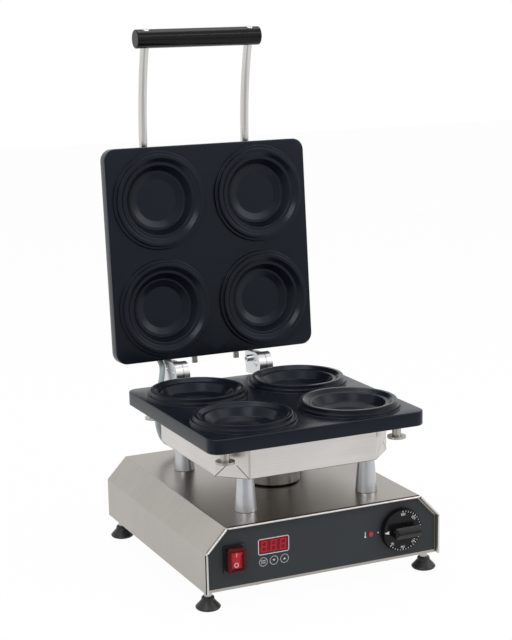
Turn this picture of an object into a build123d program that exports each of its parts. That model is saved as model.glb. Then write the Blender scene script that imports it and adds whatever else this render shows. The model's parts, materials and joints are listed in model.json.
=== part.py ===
from build123d import *
import os
from math import asin, atan2, cos, degrees, pi, radians, sin, tan

# Table-top baking unit: a base housing with its controls, a heated lower tray on four columns, and
# a heated lid on two hinges. Each tray carries an exchangeable plate with four round pie moulds.
# Millimetres. X runs to the right, Y to the back and Z up. Heights are above the table. While the
# pieces are drawn, Y is measured from the front edge of the base housing and the lid lies closed.
# At the end the lid is turned up to its open stop and all pieces are moved so that the origin is at
# the bottom centre of the whole.

# Base housing: one folded hood over a flat floor, closed by a recessed front and a back panel
base_width = 330.0
base_depth = 356.0
base_height = 82.0
shoulder_width = 28.0
shoulder_drop = 29.5
sheet = 1.5
hem = 2.6
hem_depth = 5.0
hem_relief = 1.4
panel_gap = 0.3
front_recess = 7.0
fascia_thickness = 0.6
fascia_margin = 4.6
fascia_foot = 3.8
floor_flange = 12.0
floor_clearance = 0.3

# Feet
foot_height = 27.0
foot_diameter = 32.3
foot_neck_diameter = 16.0
foot_cone_top = 11.0
foot_neck_top = 17.0
foot_x = 154.6
foot_inset = 24.2
stud_diameter = 10.0
stud_socket_depth = 9.0
stud_top = 42.0
nut_flats = 16.0
nut_height = 6.0
thread_clearance = 0.15

# Columns and cable duct between housing and lower tray
column_height = 46.0
column_foot_diameter = 29.0
column_head_diameter = 20.5
column_x = 86.5
column_pitch_y = 204.0
column_bolt_diameter = 6.0
bolt_hole_clearance = 0.3
bolt_head_diameter = 10.0
bolt_head_height = 5.0
bolt_reach = 14.0
duct_diameter = 72.0
duct_wall = 1.5
duct_opening_diameter = 56.0

# Baking plates
plate_width = 302.0
plate_depth = 298.0
plate_thickness = 19.0
plate_corner_radius = 16.0
plate_edge_radius = 1.6
closed_gap = 0.2
plate_centre_y = 157.8
mould_pitch_x = 151.0
mould_pitch_y = 150.0
ring_height = 9.5
ring_base_radius = 67.8
ring_base_height = 4.3
ring_outer_radius = 63.4
ring_inner_radius = 58.8
shelf_outer_radius = 53.0
shelf_inner_radius = 48.8
shelf_height = 4.8
well_radius = 41.2
well_depth = 6.0
floor_edge_radius = 38.6
floor_radius = 29.0
floor_depth = 9.5
ring_draft = 0.6
mould_fillet = 0.7

# Mushroom studs and rear pins of the plates
mushroom_x = 121.5
mushroom_pitch_y = 242.0
mushroom_stem_diameter = 12.0
mushroom_disc_diameter = 24.5
mushroom_disc_thickness = 3.0
mushroom_length = 19.5
mushroom_screw_in = 7.0
rear_pin_x = 32.1
rear_pin_diameter = 8.5
rear_pin_length = 9.5
rear_pin_depth = 8.3
rear_pin_screw_in = 8.0
plate_screw_x = 40.0
plate_screw_diameter = 6.0
plate_screw_reach = 7.0

# Heated trays
tray_half_width = 123.4
tray_half_depth = 124.3
tray_chamfer = 33.4
tray_height = 43.5
tray_rim_gap = 1.2
tab_height = 17.0
tab_top_width = 13.0
seam_width = 0.7
seam_depth = 0.6
heater_plate_thickness = 8.0
heater_plate_gap = 1.5
leg_diameter = 16.0
element_diameter = 6.5
element_run_pitch = 30.0
element_half_length = 88.0
element_tail = 14.0
element_gap = 0.3
insulation_gap = 0.4
insulation_thickness = 8.5
insulation_hole = 20.0

# Hinges
hinge_setback = 18.5
hinge_x = 64.0
knuckle_radius = 16.0
arm_width = 11.0
bracket_width = 9.0
hinge_side_gap = 0.6
pin_diameter = 9.0
pin_clearance = 0.05
pin_overhang = 0.8
pin_slot_width = 1.8
pin_slot_depth = 1.0
arm_back = 16.5
arm_top = 34.0
limb_top = 58.0
limb_gap = 1.5
flange_width = 34.0
flange_height = 31.0
flange_thickness = 6.0
flange_screw_pitch = 17.0
flange_screw_diameter = 5.0
flange_screw_head = 8.5
flange_screw_head_height = 4.0
stop_screw_reach = 19.4
stop_screw_rise_angle = 13.0
stop_screw_diameter = 6.0
stop_screw_head = 10.0
stop_screw_head_height = 6.0
stop_gap = 0.2
hex_key = 5.0
hex_depth = 3.0
ledge_depth = 4.0
lid_open_angle = 94.35

# Handle
rod_diameter = 12.0
rod_x = 78.0
rod_depth_above_plate = 42.0
rod_bend_radius = 466.0
rod_inside = 10.0
rod_nut_flats = 19.0
rod_nut_thickness = 6.0
handle_diameter = 26.0
handle_length = 186.0
handle_reach = 172.2
handle_end_radius = 1.5
rod_seat_clearance = 0.3
handle_screw_diameter = 5.0
handle_screw_head = 9.0

# Controls, measured from the middle of the housing and from its lower edge
switch_x = -126.0
switch_z = 40.0
switch_frame_width = 30.0
switch_frame_height = 37.0
switch_flange_thickness = 2.2
switch_frame_thickness = 8.0
switch_frame_margin = 0.5
switch_body_width = 21.5
switch_body_height = 29.5
switch_body_depth = 24.0
rocker_width = 16.0
rocker_height = 21.5
rocker_rise = 1.2
rocker_tilt = 9.0
rocker_pivot_depth = 3.0
rocker_clearance = 0.5
rocker_axle_diameter = 4.0
rocker_axle_overhang = 1.5
cover_width = 25.5
cover_height = 32.5
cover_rise = 3.6
cover_wall = 0.9
display_x = -71.6
display_z = 48.0
display_width = 40.3
display_height = 18.4
module_width = 37.6
module_height = 17.6
key_pitch = 14.6
key_z = 28.5
key_diameter = 12.0
key_clearance = 0.15
key_travel = 0.5
key_thickness = 1.4
key_rise = 0.2
lamp_x = 66.0
lamp_z = 40.0
lamp_diameter = 7.0
lamp_body_diameter = 5.8
lamp_body_length = 22.0
knob_x = 108.5
knob_z = 40.4
knob_diameter = 57.0
knob_face_diameter = 55.0
knob_skirt = 8.0
knob_gap = 0.8
knob_height = 22.0
grip_foot = (-15.7, 16.6, 5.5)
grip_shoulder = (-16.5, 20.5, 7.6)
grip_ridge = (-12.5, 20.0, 1.0)
grip_shoulder_height = 9.5
shaft_diameter = 6.0
shaft_clearance = 0.05
bushing_diameter = 9.0
thermostat_size = 42.0
thermostat_depth = 30.0
board_thickness = 1.6
board_width = 78.0
board_height = 46.0
board_stand_off = 12.0
button_body = 6.0
button_height = 5.0

# Lead, inlet and parts on the floor
lead_diameter = 8.0
lead_x = -81.4
lead_base_x = -58.0
lead_base_y = 344.0
lead_base_straight = 13.0
lead_lid_height = 14.0
lead_straight = 8.0
lead_inside = 6.0
lead_bow = [(-88.0, 338.0, 16.5), (-91.8, 353.4, 64.3), (-79.2, 344.0, 122.0), (-79.2, 364.0, 134.5)]
grommet_diameter = 13.0
grommet_rim = 2.0
grommet_waist = 10.6
gland_x = 110.0
gland_z = 34.0
gland_thread_diameter = 20.0
gland_hex = 24.0
gland_dome_diameter = 19.0
gland_bore = 10.5
gland_length = 26.0
gland_inside = 10.0
vent_count = 9
vent_width = 3.0
vent_height = 26.0
vent_pitch = 9.0
relay_size = (48.0, 62.0, 40.0)
relay_place = (-92.0, 250.0)
terminal_size = (66.0, 24.0, 22.0)
terminal_place = (70.0, 285.0)
bulb_diameter = 6.0
bulb_length = 36.0
capillary_diameter = 2.0
screw_diameter = 4.0
screw_head_diameter = 7.5
screw_head_height = 2.2
screw_length = 8.0

# Worked out
base_top = foot_height + base_height
tray_bottom = base_top + column_height
tray_rim = tray_bottom + tray_height
plate_bottom = tray_rim + tray_rim_gap
plate_face = plate_bottom + plate_thickness
parting = plate_face + ring_height + closed_gap / 2
plate_back_y = plate_centre_y + plate_depth / 2
tray_back_y = plate_centre_y + tray_half_depth
tray_front_y = plate_centre_y - tray_half_depth
hinge_y = plate_back_y + hinge_setback
hinge_z = parting
panel_y = front_recess
fascia_y = panel_y - fascia_thickness
board_y = panel_y + sheet + board_stand_off
seat_radius = column_bolt_diameter / 2 + bolt_hole_clearance


def slab_y(sketch, y_front, y_back):
    """Extrude an X-Z sketch so that it fills the depth from y_front to y_back."""
    plane = Plane(origin=(0, y_back, 0), x_dir=(1, 0, 0), z_dir=(0, -1, 0))
    return extrude(plane * sketch, y_back - y_front)


def slab_x(sketch, x_left, x_right):
    """Extrude a Y-Z sketch so that it fills the width from x_left to x_right."""
    plane = Plane(origin=(x_left, 0, 0), x_dir=(0, 1, 0), z_dir=(1, 0, 0))
    return extrude(plane * sketch, x_right - x_left)


def slab_z(sketch, z_low, z_high):
    """Extrude an X-Y sketch so that it fills the height from z_low to z_high."""
    return extrude(Plane.XY.offset(z_low) * sketch, z_high - z_low)


def rod_x_axis(x_left, x_right, y, z, radius):
    """A round bar along X."""
    return slab_x(Pos(y, z) * Circle(radius), x_left, x_right)


def rod_y_axis(y_front, y_back, x, z, radius):
    """A round bar along Y."""
    return slab_y(Pos(x, z) * Circle(radius), y_front, y_back)


def rod_z_axis(z_low, z_high, x, y, radius):
    """An upright round bar."""
    return slab_z(Pos(x, y) * Circle(radius), z_low, z_high)


def closed_face(points):
    """A flat face bounded by straight lines through the points."""
    return make_face(Polyline(*points, close=True))


def housing_outline(inset, bottom):
    """Six-sided X-Z outline of the base housing, moved inwards by inset, standing on bottom."""
    slope = atan2(shoulder_drop, shoulder_width)
    side_top = base_top - shoulder_drop - inset * tan((pi / 2 - slope) / 2)
    flat_half = base_width / 2 - shoulder_width - inset * tan(slope / 2)
    half = base_width / 2 - inset
    top = base_top - inset
    left = [(-half, bottom), (-half, side_top), (-flat_half, top)]
    return closed_face(left + [(-x, z) for x, z in reversed(left)])


def tray_outline(inset):
    """X-Y outline of a tray: a square with its four upright corners cut off at 45 degrees."""
    half_x = tray_half_width - inset
    half_y = tray_half_depth - inset
    cut = tray_chamfer - inset * (2 - 2 ** 0.5)
    return Pos(0, plate_centre_y) * closed_face(
        [
            (-half_x + cut, -half_y), (half_x - cut, -half_y), (half_x, -half_y + cut), (half_x, half_y - cut),
            (half_x - cut, half_y), (-half_x + cut, half_y), (-half_x, half_y - cut), (-half_x, -half_y + cut),
        ]
    )


def corners(half_x, pitch_y, centre_y):
    """The four places (x, y) at plus and minus half_x and half the pitch before and behind centre_y."""
    return [(x, centre_y + side * pitch_y / 2) for x in (-half_x, half_x) for side in (-1, 1)]


def group(solids):
    """Several separate solids kept together under one name."""
    return Compound(children=[piece for item in solids for piece in item.solids()])


def to_lid(shape):
    """Mirror a piece of the lower half about the parting plane: its twin in the closed lid."""
    return mirror(shape, Plane.XY.offset(parting))


column_places = corners(column_x, column_pitch_y, plate_centre_y)
foot_places = corners(foot_x, base_depth - 2 * foot_inset, base_depth / 2)
mushroom_places = corners(mushroom_x, mushroom_pitch_y, plate_centre_y)
mould_places = corners(mould_pitch_x / 2, mould_pitch_y, plate_centre_y)


# Base housing

def base_hood():
    """Folded cover: two sides, two shoulders and the top, with a hemmed edge in front and behind."""
    outer = slab_y(housing_outline(0, foot_height), 0, base_depth)
    hollow = slab_y(housing_outline(sheet, foot_height - 1), -1, base_depth + 1)
    hood = outer - hollow
    rim = housing_outline(sheet, foot_height) - housing_outline(hem, foot_height - 1)
    hood += slab_y(rim, 0, hem_depth)
    slope = atan2(shoulder_drop, shoulder_width)
    for side in (-1, 1):
        for x, z in [
            (base_width / 2 - hem * 0.55, base_top - shoulder_drop - hem * 0.55 * tan((pi / 2 - slope) / 2)),
            (base_width / 2 - shoulder_width - hem * 0.55 * tan(slope / 2), base_top - hem * 0.55),
        ]:
            hood -= rod_y_axis(-1, hem_depth + 1, side * x, z, hem_relief)
    for x, y in column_places:
        hood -= rod_z_axis(base_top - 2 * sheet, base_top + 1, x, y, seat_radius)
    hood -= rod_z_axis(base_top - 2 * sheet, base_top + 1, 0, plate_centre_y, duct_opening_diameter / 2)
    hood -= rod_z_axis(base_top - 2 * sheet, base_top + 1, lead_base_x, lead_base_y, grommet_waist / 2)
    return hood


def base_floor():
    """Floor sheet with upturned side flanges between the feet and cooling slots."""
    half = base_width / 2 - sheet - floor_clearance
    plate_half = base_width / 2 - hem - floor_clearance
    front_edge = panel_y + sheet + floor_clearance
    back_edge = base_depth - sheet - floor_clearance
    plate = Pos(0, (front_edge + back_edge) / 2) * Rectangle(2 * plate_half, back_edge - front_edge)
    floor = slab_z(plate, foot_height, foot_height + sheet)
    flange_length = base_depth - 4 * foot_inset
    for side in (-1, 1):
        strip = Pos(side * (half - sheet / 2), base_depth / 2) * Rectangle(sheet, flange_length)
        floor += slab_z(strip, foot_height, foot_height + floor_flange)
    stud_bore = stud_diameter / 2 + thread_clearance
    for x, y in foot_places:
        floor -= rod_z_axis(foot_height - 1, foot_height + 2 * sheet, x, y, stud_bore)
    for index in range(vent_count):
        x = (index - (vent_count - 1) / 2) * 2 * vent_pitch
        slot = Pos(x, plate_centre_y) * SlotOverall(2 * vent_height, vent_width, rotation=90)
        floor -= slab_z(slot, foot_height - 1, foot_height + 2 * sheet)
    return floor


def control_cuts(y_front, y_back, film):
    """The openings for the controls. The film fits round the window, the panel round the module behind it."""
    z = foot_height
    width = switch_body_width + 2 * panel_gap
    height = switch_body_height + 2 * panel_gap
    cuts = [slab_y(Pos(switch_x, z + switch_z) * Rectangle(width, height), y_front, y_back)]
    window = Rectangle(display_width + 2 * key_clearance, display_height + 2 * key_clearance)
    module = Rectangle(module_width + 2 * panel_gap, module_height + 2 * panel_gap)
    cuts.append(slab_y(Pos(display_x, z + display_z) * (window if film else module), y_front, y_back))
    key_radius = key_diameter / 2 + key_clearance
    for index in (-1, 0, 1):
        cuts.append(rod_y_axis(y_front, y_back, display_x + index * key_pitch, z + key_z, key_radius))
    cuts.append(rod_y_axis(y_front, y_back, lamp_x, z + lamp_z, lamp_body_diameter / 2 + key_clearance))
    cuts.append(rod_y_axis(y_front, y_back, knob_x, z + knob_z, bushing_diameter / 2 + key_clearance))
    return cuts


def front_panel():
    """Recessed steel front with a foot that lies on the floor sheet."""
    outline = housing_outline(sheet + panel_gap, foot_height)
    panel = slab_y(outline, panel_y, panel_y + sheet)
    foot_half = base_width / 2 - 2 * foot_inset
    foot = slab_y(
        Pos(0, foot_height + 1.5 * sheet) * Rectangle(2 * foot_half, sheet), panel_y, panel_y + floor_flange
    )
    panel += foot
    return panel - control_cuts(panel_y - 1, panel_y + sheet + 1, False)


def front_fascia():
    """Printed film on the front panel."""
    film = slab_y(housing_outline(fascia_margin, foot_height + fascia_foot), fascia_y, panel_y)
    return film - control_cuts(fascia_y - 1, panel_y + 1, True)


def back_panel():
    """Rear sheet inside the hood, with cooling louvres and the hole for the cable gland."""
    outline = housing_outline(sheet + panel_gap, foot_height)
    panel = slab_y(outline, base_depth - sheet, base_depth)
    foot_half = base_width / 2 - 2 * foot_inset
    foot = Pos(0, foot_height + 1.5 * sheet) * Rectangle(2 * foot_half, sheet)
    panel += slab_y(foot, base_depth - floor_flange, base_depth)
    for index in range(vent_count):
        x = (index - (vent_count - 1) / 2) * vent_pitch
        slot = Pos(x, foot_height + base_height / 2) * SlotOverall(vent_height, vent_width, rotation=90)
        panel -= slab_y(slot, base_depth - 2 * sheet, base_depth + 1)
    hole = gland_thread_diameter / 2 + thread_clearance
    panel -= rod_y_axis(base_depth - 2 * sheet, base_depth + 1, gland_x, foot_height + gland_z, hole)
    return panel


def housing_screws():
    """Pan-head screws: two through the floor into each panel's foot."""
    screws = []
    half = base_width / 2 - 3 * foot_inset
    for x in (-half, half):
        for y in (panel_y + floor_flange * 0.6, base_depth - floor_flange * 0.6):
            head = rod_z_axis(foot_height - screw_head_height, foot_height, x, y, screw_head_diameter / 2)
            shank = rod_z_axis(foot_height, foot_height + screw_length, x, y, screw_diameter / 2)
            screws.append(head + shank)
    return group(screws)


def without_screw_holes(shape):
    """Cut the holes of the housing screws into a floor or a panel foot."""
    half = base_width / 2 - 3 * foot_inset
    for x in (-half, half):
        for y in (panel_y + floor_flange * 0.6, base_depth - floor_flange * 0.6):
            radius = screw_diameter / 2 + thread_clearance
            shape -= rod_z_axis(foot_height - 1, foot_height + 3 * sheet, x, y, radius)
    return shape


# Feet

def foot(x, y):
    """Moulded bell-shaped foot with a socket for its stud."""
    base = foot_diameter / 2
    neck = foot_neck_diameter / 2
    rim = 3.8
    profile = closed_face(
        [
            (0, 0), (base - 5, 0), (base - 1.5, 1.6), (base, rim), (base - 0.8, rim + 1.2),
            (neck + 2, foot_cone_top), (neck + 0.6, foot_cone_top + 1.5), (neck, foot_neck_top - 0.8),
            (neck - 0.8, foot_neck_top), (0, foot_neck_top),
        ]
    )
    body = revolve(Plane.XZ * profile, Axis.Z)
    socket_floor = foot_neck_top - stud_socket_depth
    body -= rod_z_axis(socket_floor, foot_neck_top + 1, 0, 0, stud_diameter / 2 + thread_clearance)
    return Pos(x, y) * body


def foot_studs():
    """Threaded studs that screw through the floor sheet, each with its lock nut on top of the sheet."""
    pieces = []
    stud_foot = foot_neck_top - stud_socket_depth + thread_clearance
    for x, y in foot_places:
        stud = rod_z_axis(stud_foot, stud_top, x, y, stud_diameter / 2)
        nut_top = foot_height + sheet + nut_height
        nut = Pos(x, y) * RegularPolygon(nut_flats / 2, 6, major_radius=False, rotation=30)
        nut = slab_z(nut, foot_height + sheet, nut_top)
        nut -= rod_z_axis(foot_height, nut_top + 1, x, y, stud_diameter / 2 + thread_clearance)
        pieces += [stud, nut]
    return group(pieces)


# Columns and duct

def column(x, y):
    """Turned tapered column with a through bore for its long bolt."""
    cone = Solid.make_cone(column_foot_diameter / 2, column_head_diameter / 2, column_height)
    cone -= Solid.make_cylinder(seat_radius, column_height)
    return Pos(x, y, base_top) * cone


def column_bolts():
    """Long bolts from under the hood through columns and tray into the legs of the heater plate."""
    bolts = []
    for x, y in column_places:
        seat = base_top - sheet
        head = rod_z_axis(seat - bolt_head_height, seat, x, y, bolt_head_diameter / 2)
        socket = Pos(x, y) * RegularPolygon(hex_key / 2, 6, major_radius=False)
        head -= slab_z(socket, seat - bolt_head_height - 1, seat - bolt_head_height + hex_depth)
        shank = rod_z_axis(seat, tray_bottom + sheet + bolt_reach, x, y, column_bolt_diameter / 2)
        bolts.append(head + shank)
    return group(bolts)


def cable_duct():
    """Wide tube that leads the wiring from the housing into the lower tray."""
    ring = Circle(duct_diameter / 2) - Circle(duct_diameter / 2 - duct_wall)
    return slab_z(Pos(0, plate_centre_y) * ring, base_top, tray_bottom)


# Trays and what they hold, drawn for the lower half

def bolt_thread_radius():
    """Radius of the threaded holes for bolts, mushroom studs and rear pins."""
    return column_bolt_diameter / 2 + thread_clearance


def tray():
    """Folded tray with cut corners. Two seams on each corner show the tab folded up from the floor."""
    body = slab_z(tray_outline(0), tray_bottom, tray_rim)
    body -= slab_z(tray_outline(sheet), tray_bottom + sheet, tray_rim + 1)
    face_width = tray_chamfer * 2 ** 0.5
    middle_x = tray_half_width - tray_chamfer / 2
    middle_y = tray_half_depth - tray_chamfer / 2
    run = (face_width - tab_top_width) / 2
    length = (run ** 2 + tab_height ** 2) ** 0.5
    for side_x in (-1, 1):
        for side_y in (-1, 1):
            outward = (side_x, side_y, 0)
            along = (-side_y, side_x, 0)
            face = Plane(
                origin=(side_x * middle_x, plate_centre_y + side_y * middle_y, tray_bottom),
                x_dir=along, z_dir=outward,
            )
            for side in (-1, 1):
                middle = Pos(side * (face_width / 2 - run / 2), tab_height / 2)
                turn = Rot(0, 0, -side * degrees(atan2(tab_height, run)))
                groove = face * (middle * turn * Rectangle(length, seam_width))
                body -= extrude(groove, seam_depth, both=True)
    for x, y in column_places:
        body -= rod_z_axis(tray_bottom - 1, tray_bottom + 2 * sheet, x, y, seat_radius)
    return body


def lower_tray():
    """The lower tray with the hole above the duct and the bores for the hinge screws."""
    body = tray()
    body -= rod_z_axis(tray_bottom - 1, tray_bottom + 2 * sheet, 0, plate_centre_y, duct_opening_diameter / 2)
    return body - flange_bores(bracket_x(0)) - flange_bores(bracket_x(1))


def lid_tray():
    """The lid's tray, closed position: mirrored, with holes for the handle rods and the lead."""
    body = to_lid(tray() - flange_bores(arm_x(0)) - flange_bores(arm_x(1)))
    rod_z = 2 * parting - plate_face + rod_depth_above_plate
    for x in (-rod_x, rod_x):
        radius = rod_diameter / 2 + rod_seat_clearance
        body -= rod_y_axis(tray_front_y - 1, tray_front_y + 2 * sheet, x, rod_z, radius)
    body -= rod_y_axis(tray_back_y - 2 * sheet, tray_back_y + 1, lead_x, lid_lead_z(), grommet_waist / 2)
    return body


def heater_plate():
    """Cast plate under the baking plate, on four legs that stand on the tray's floor."""
    slab = slab_z(tray_outline(sheet + heater_plate_gap), plate_bottom - heater_plate_thickness, plate_bottom)
    leg_foot = tray_bottom + sheet
    under = plate_bottom - heater_plate_thickness
    for x, y in column_places:
        slab += rod_z_axis(leg_foot, under, x, y, leg_diameter / 2)
    for x, y in column_places:
        slab -= rod_z_axis(leg_foot - 1, leg_foot + bolt_reach + 1, x, y, bolt_thread_radius())
    for x in (-plate_screw_x, plate_screw_x):
        radius = plate_screw_diameter / 2 + thread_clearance
        slab -= rod_z_axis(under - 1, plate_bottom + 1, x, plate_centre_y, radius)
    return slab


def element_height():
    """Height of the heating element's middle line."""
    return plate_bottom - heater_plate_thickness - element_gap - element_diameter / 2


def heating_element():
    """Tubular element bent into four runs, with both ends turned down at the back."""
    z = element_height()
    x1 = 1.5 * element_run_pitch
    x2 = 0.5 * element_run_pitch
    near = plate_centre_y - element_half_length
    far = plate_centre_y + element_half_length
    route = [
        (-x1 - element_run_pitch / 2, far, z - element_tail), (-x1 - element_run_pitch / 2, far, z),
        (-x1 - element_run_pitch / 2, near, z), (-x2 - 4, near, z), (-x2 - 4, far - element_run_pitch, z),
        (x2 + 4, far - element_run_pitch, z), (x2 + 4, near, z), (x1 + element_run_pitch / 2, near, z),
        (x1 + element_run_pitch / 2, far, z), (x1 + element_run_pitch / 2, far, z - element_tail),
    ]
    path = FilletPolyline(*route, radius=[8, 14, 14, 14, 14, 14, 14, 8])
    section = Plane(origin=path @ 0, z_dir=path % 0) * Circle(element_diameter / 2)
    return sweep(section, path=path)


def insulation():
    """Ceramic wool mat on the tray floor, cut out round the legs and above the duct."""
    top = tray_bottom + sheet + insulation_thickness
    mat = slab_z(tray_outline(sheet + insulation_gap), tray_bottom + sheet, top)
    for x, y in column_places:
        mat -= rod_z_axis(tray_bottom, top + 1, x, y, leg_diameter / 2 + insulation_gap)
    return mat - rod_z_axis(tray_bottom, top + 1, 0, plate_centre_y, insulation_hole / 2)


# Baking plates

def mould_sections():
    """Radius-height outlines of one mould: the raised ring that is added and the well that is cut."""
    top = plate_face + ring_height
    tier = plate_face + ring_base_height
    ring = closed_face(
        [
            (0, plate_face - 3), (ring_base_radius + ring_draft, plate_face - 3),
            (ring_base_radius + ring_draft, plate_face), (ring_base_radius, tier),
            (ring_outer_radius + ring_draft, tier), (ring_outer_radius, top), (0, top),
        ]
    )
    well = closed_face(
        [
            (0, top + 1), (ring_inner_radius, top + 1), (ring_inner_radius, top),
            (shelf_outer_radius, plate_face + shelf_height), (shelf_inner_radius, plate_face + shelf_height),
            (well_radius, plate_face - well_depth), (floor_edge_radius, plate_face - well_depth),
            (floor_radius, plate_face - floor_depth), (0, plate_face - floor_depth),
        ]
    )
    return ring, well


def baking_plate():
    """Coated cast plate with four round moulds, each a stepped well inside a raised ring."""
    slab = slab_z(
        Pos(0, plate_centre_y) * RectangleRounded(plate_width, plate_depth, plate_corner_radius),
        plate_bottom, plate_face,
    )
    slab = fillet(slab.edges().group_by(Axis.Z)[-1] + slab.edges().group_by(Axis.Z)[0], plate_edge_radius)
    ring, well = mould_sections()
    ring = revolve(Plane.XZ * ring, Axis.Z)
    well = revolve(Plane.XZ * well, Axis.Z)
    for x, y in mould_places:
        slab += Pos(x, y) * ring
    for x, y in mould_places:
        slab -= Pos(x, y) * well
    round_edges = [
        edge for edge in slab.edges().filter_by(GeomType.CIRCLE)
        if edge.radius > floor_radius + 1 and abs(edge.center().Z - plate_bottom) > 1
        and edge.radius < ring_base_radius + ring_draft - 0.1
    ]
    slab = fillet(round_edges, mould_fillet)
    for x, y in mushroom_places:
        slab -= rod_z_axis(plate_bottom - 1, plate_bottom + mushroom_screw_in, x, y, bolt_thread_radius())
    for x in (-rear_pin_x, rear_pin_x):
        depth = plate_back_y - rear_pin_screw_in
        slab -= rod_y_axis(depth, plate_back_y + 1, x, plate_face - rear_pin_depth, bolt_thread_radius())
    for x in (-plate_screw_x, plate_screw_x):
        radius = plate_screw_diameter / 2 + thread_clearance
        slab -= rod_z_axis(plate_bottom - 1, plate_bottom + plate_screw_reach, x, plate_centre_y, radius)
    return slab


def plate_fixings():
    """Mushroom studs at the corners, two rear pins and the two screws that hold the baking plate."""
    pieces = []
    thread = column_bolt_diameter / 2
    foot_z = plate_bottom - mushroom_length
    for x, y in mushroom_places:
        stud = rod_z_axis(foot_z, foot_z + mushroom_disc_thickness, x, y, mushroom_disc_diameter / 2)
        stud += rod_z_axis(foot_z, plate_bottom, x, y, mushroom_stem_diameter / 2)
        stud += rod_z_axis(plate_bottom, plate_bottom + mushroom_screw_in - 1, x, y, thread)
        pieces.append(stud)
    for x in (-rear_pin_x, rear_pin_x):
        z = plate_face - rear_pin_depth
        pin = rod_y_axis(plate_back_y, plate_back_y + rear_pin_length, x, z, rear_pin_diameter / 2)
        pin += rod_y_axis(plate_back_y - rear_pin_screw_in + 1, plate_back_y, x, z, thread)
        pieces.append(pin)
    seat = plate_bottom - heater_plate_thickness
    tip = plate_bottom + plate_screw_reach - 1
    for x in (-plate_screw_x, plate_screw_x):
        head = rod_z_axis(seat - bolt_head_height, seat, x, plate_centre_y, bolt_head_diameter / 2)
        shank = rod_z_axis(seat, tip, x, plate_centre_y, plate_screw_diameter / 2)
        pieces.append(head + shank)
    return group(pieces)


# Hinges

def hinge_left_faces():
    """The left face (x) of each of the two hinges."""
    width = arm_width + hinge_side_gap + bracket_width
    return [-hinge_x - width / 2, hinge_x - width / 2]


def bracket_x(index):
    """Left and right face of the fixed bracket of one hinge."""
    left = hinge_left_faces()[index] + arm_width + hinge_side_gap
    return left, left + bracket_width


def arm_x(index):
    """Left and right face of the lid's arm of one hinge."""
    left = hinge_left_faces()[index]
    return left, left + arm_width


def flange_x(faces):
    """Middle of the flange of a hinge piece with these side faces: it runs towards the machine's middle."""
    left, right = faces
    return right - flange_width / 2 if left > 0 else left + flange_width / 2


def flange_middle():
    """Height of the middle of a hinge flange on the lower tray."""
    return tray_bottom + tray_height / 2


def flange_screw_places(faces):
    """The two screw places (x, z) of one flange on the lower tray."""
    x = flange_x(faces)
    return [(x - flange_screw_pitch / 2, flange_middle()), (x + flange_screw_pitch / 2, flange_middle())]


def flange_bores(faces):
    """Bores for the screws of one hinge piece, through the lower tray's back wall and the flange."""
    radius = flange_screw_diameter / 2 + thread_clearance
    front = tray_back_y - 2 * sheet
    back = tray_back_y + flange_thickness
    return [rod_y_axis(front, back, x, z, radius) for x, z in flange_screw_places(faces)]


def flange(faces):
    """Plate of one hinge piece against the back wall of the lower tray."""
    shape = Pos(flange_x(faces), flange_middle()) * Rectangle(flange_width, flange_height)
    return slab_y(shape, tray_back_y, tray_back_y + flange_thickness)


def hinge_bracket(index):
    """Fixed half: flange on the lower tray, limb below the plate, knuckle and a ledge for the stop screw."""
    left, right = bracket_x(index)
    low = flange_middle() - flange_height / 2
    high = flange_middle() + flange_height / 2
    ledge_top = hinge_z + stop_place()[1] - stop_screw_diameter / 2 - stop_gap
    ledge_back = hinge_y + stop_place()[0] + ledge_depth
    rear = hinge_y + knuckle_radius
    profile = closed_face(
        [
            (tray_back_y, low), (tray_back_y, high), (hinge_y - 1.5 * knuckle_radius, high),
            (hinge_y - knuckle_radius, high + knuckle_radius / 2), (hinge_y - knuckle_radius, hinge_z),
            (hinge_y, hinge_z), (rear - 1, ledge_top), (ledge_back, ledge_top),
            (ledge_back, ledge_top - knuckle_radius), (rear, ledge_top - 2 * knuckle_radius),
            (rear, low + flange_height / 2), (hinge_y, low),
        ]
    )
    body = slab_x(profile, left, right)
    body += rod_x_axis(left, right, hinge_y, hinge_z, knuckle_radius)
    body += flange((left, right))
    body -= flange_bores((left, right))
    return body - rod_x_axis(left - 1, right + 1, hinge_y, hinge_z, pin_diameter / 2 + pin_clearance)


def stop_place():
    """Place (y, z) of the stop screw from the hinge axis while the lid is open."""
    angle = radians(stop_screw_rise_angle)
    return stop_screw_reach * cos(angle), stop_screw_reach * sin(angle)


def closed_from_open(y, z):
    """Turn a place given from the hinge axis with the lid open back to the closed lid."""
    angle = radians(lid_open_angle)
    return y * cos(angle) - z * sin(angle), y * sin(angle) + z * cos(angle)


def hinge_arm(index):
    """Moving half, lid closed: knuckle, block behind the plate and limb over it to the lid's tray."""
    left, right = arm_x(index)
    limb_bottom = plate_thickness + ring_height + limb_gap
    wall = tray_back_y - hinge_y
    points = [
        (wall, limb_bottom), (-knuckle_radius, limb_bottom), (-knuckle_radius, 0), (0, 0), (knuckle_radius, 0),
        (arm_back, knuckle_radius + 4), (arm_back, arm_top), (-14, arm_top), (-28, limb_top), (wall, limb_top),
    ]
    profile = closed_face([(hinge_y + y, hinge_z + z) for y, z in points])
    body = slab_x(profile, left, right)
    body += rod_x_axis(left, right, hinge_y, hinge_z, knuckle_radius)
    body += to_lid(flange((left, right)))
    body -= [to_lid(bore) for bore in flange_bores((left, right))]
    body -= rod_x_axis(left - 1, right + 1, hinge_y, hinge_z, pin_diameter / 2 + pin_clearance)
    y, z = closed_from_open(*stop_place())
    radius = stop_screw_diameter / 2 + thread_clearance
    return body - rod_x_axis(left - 1, right + 1, hinge_y + y, hinge_z + z, radius)


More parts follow.
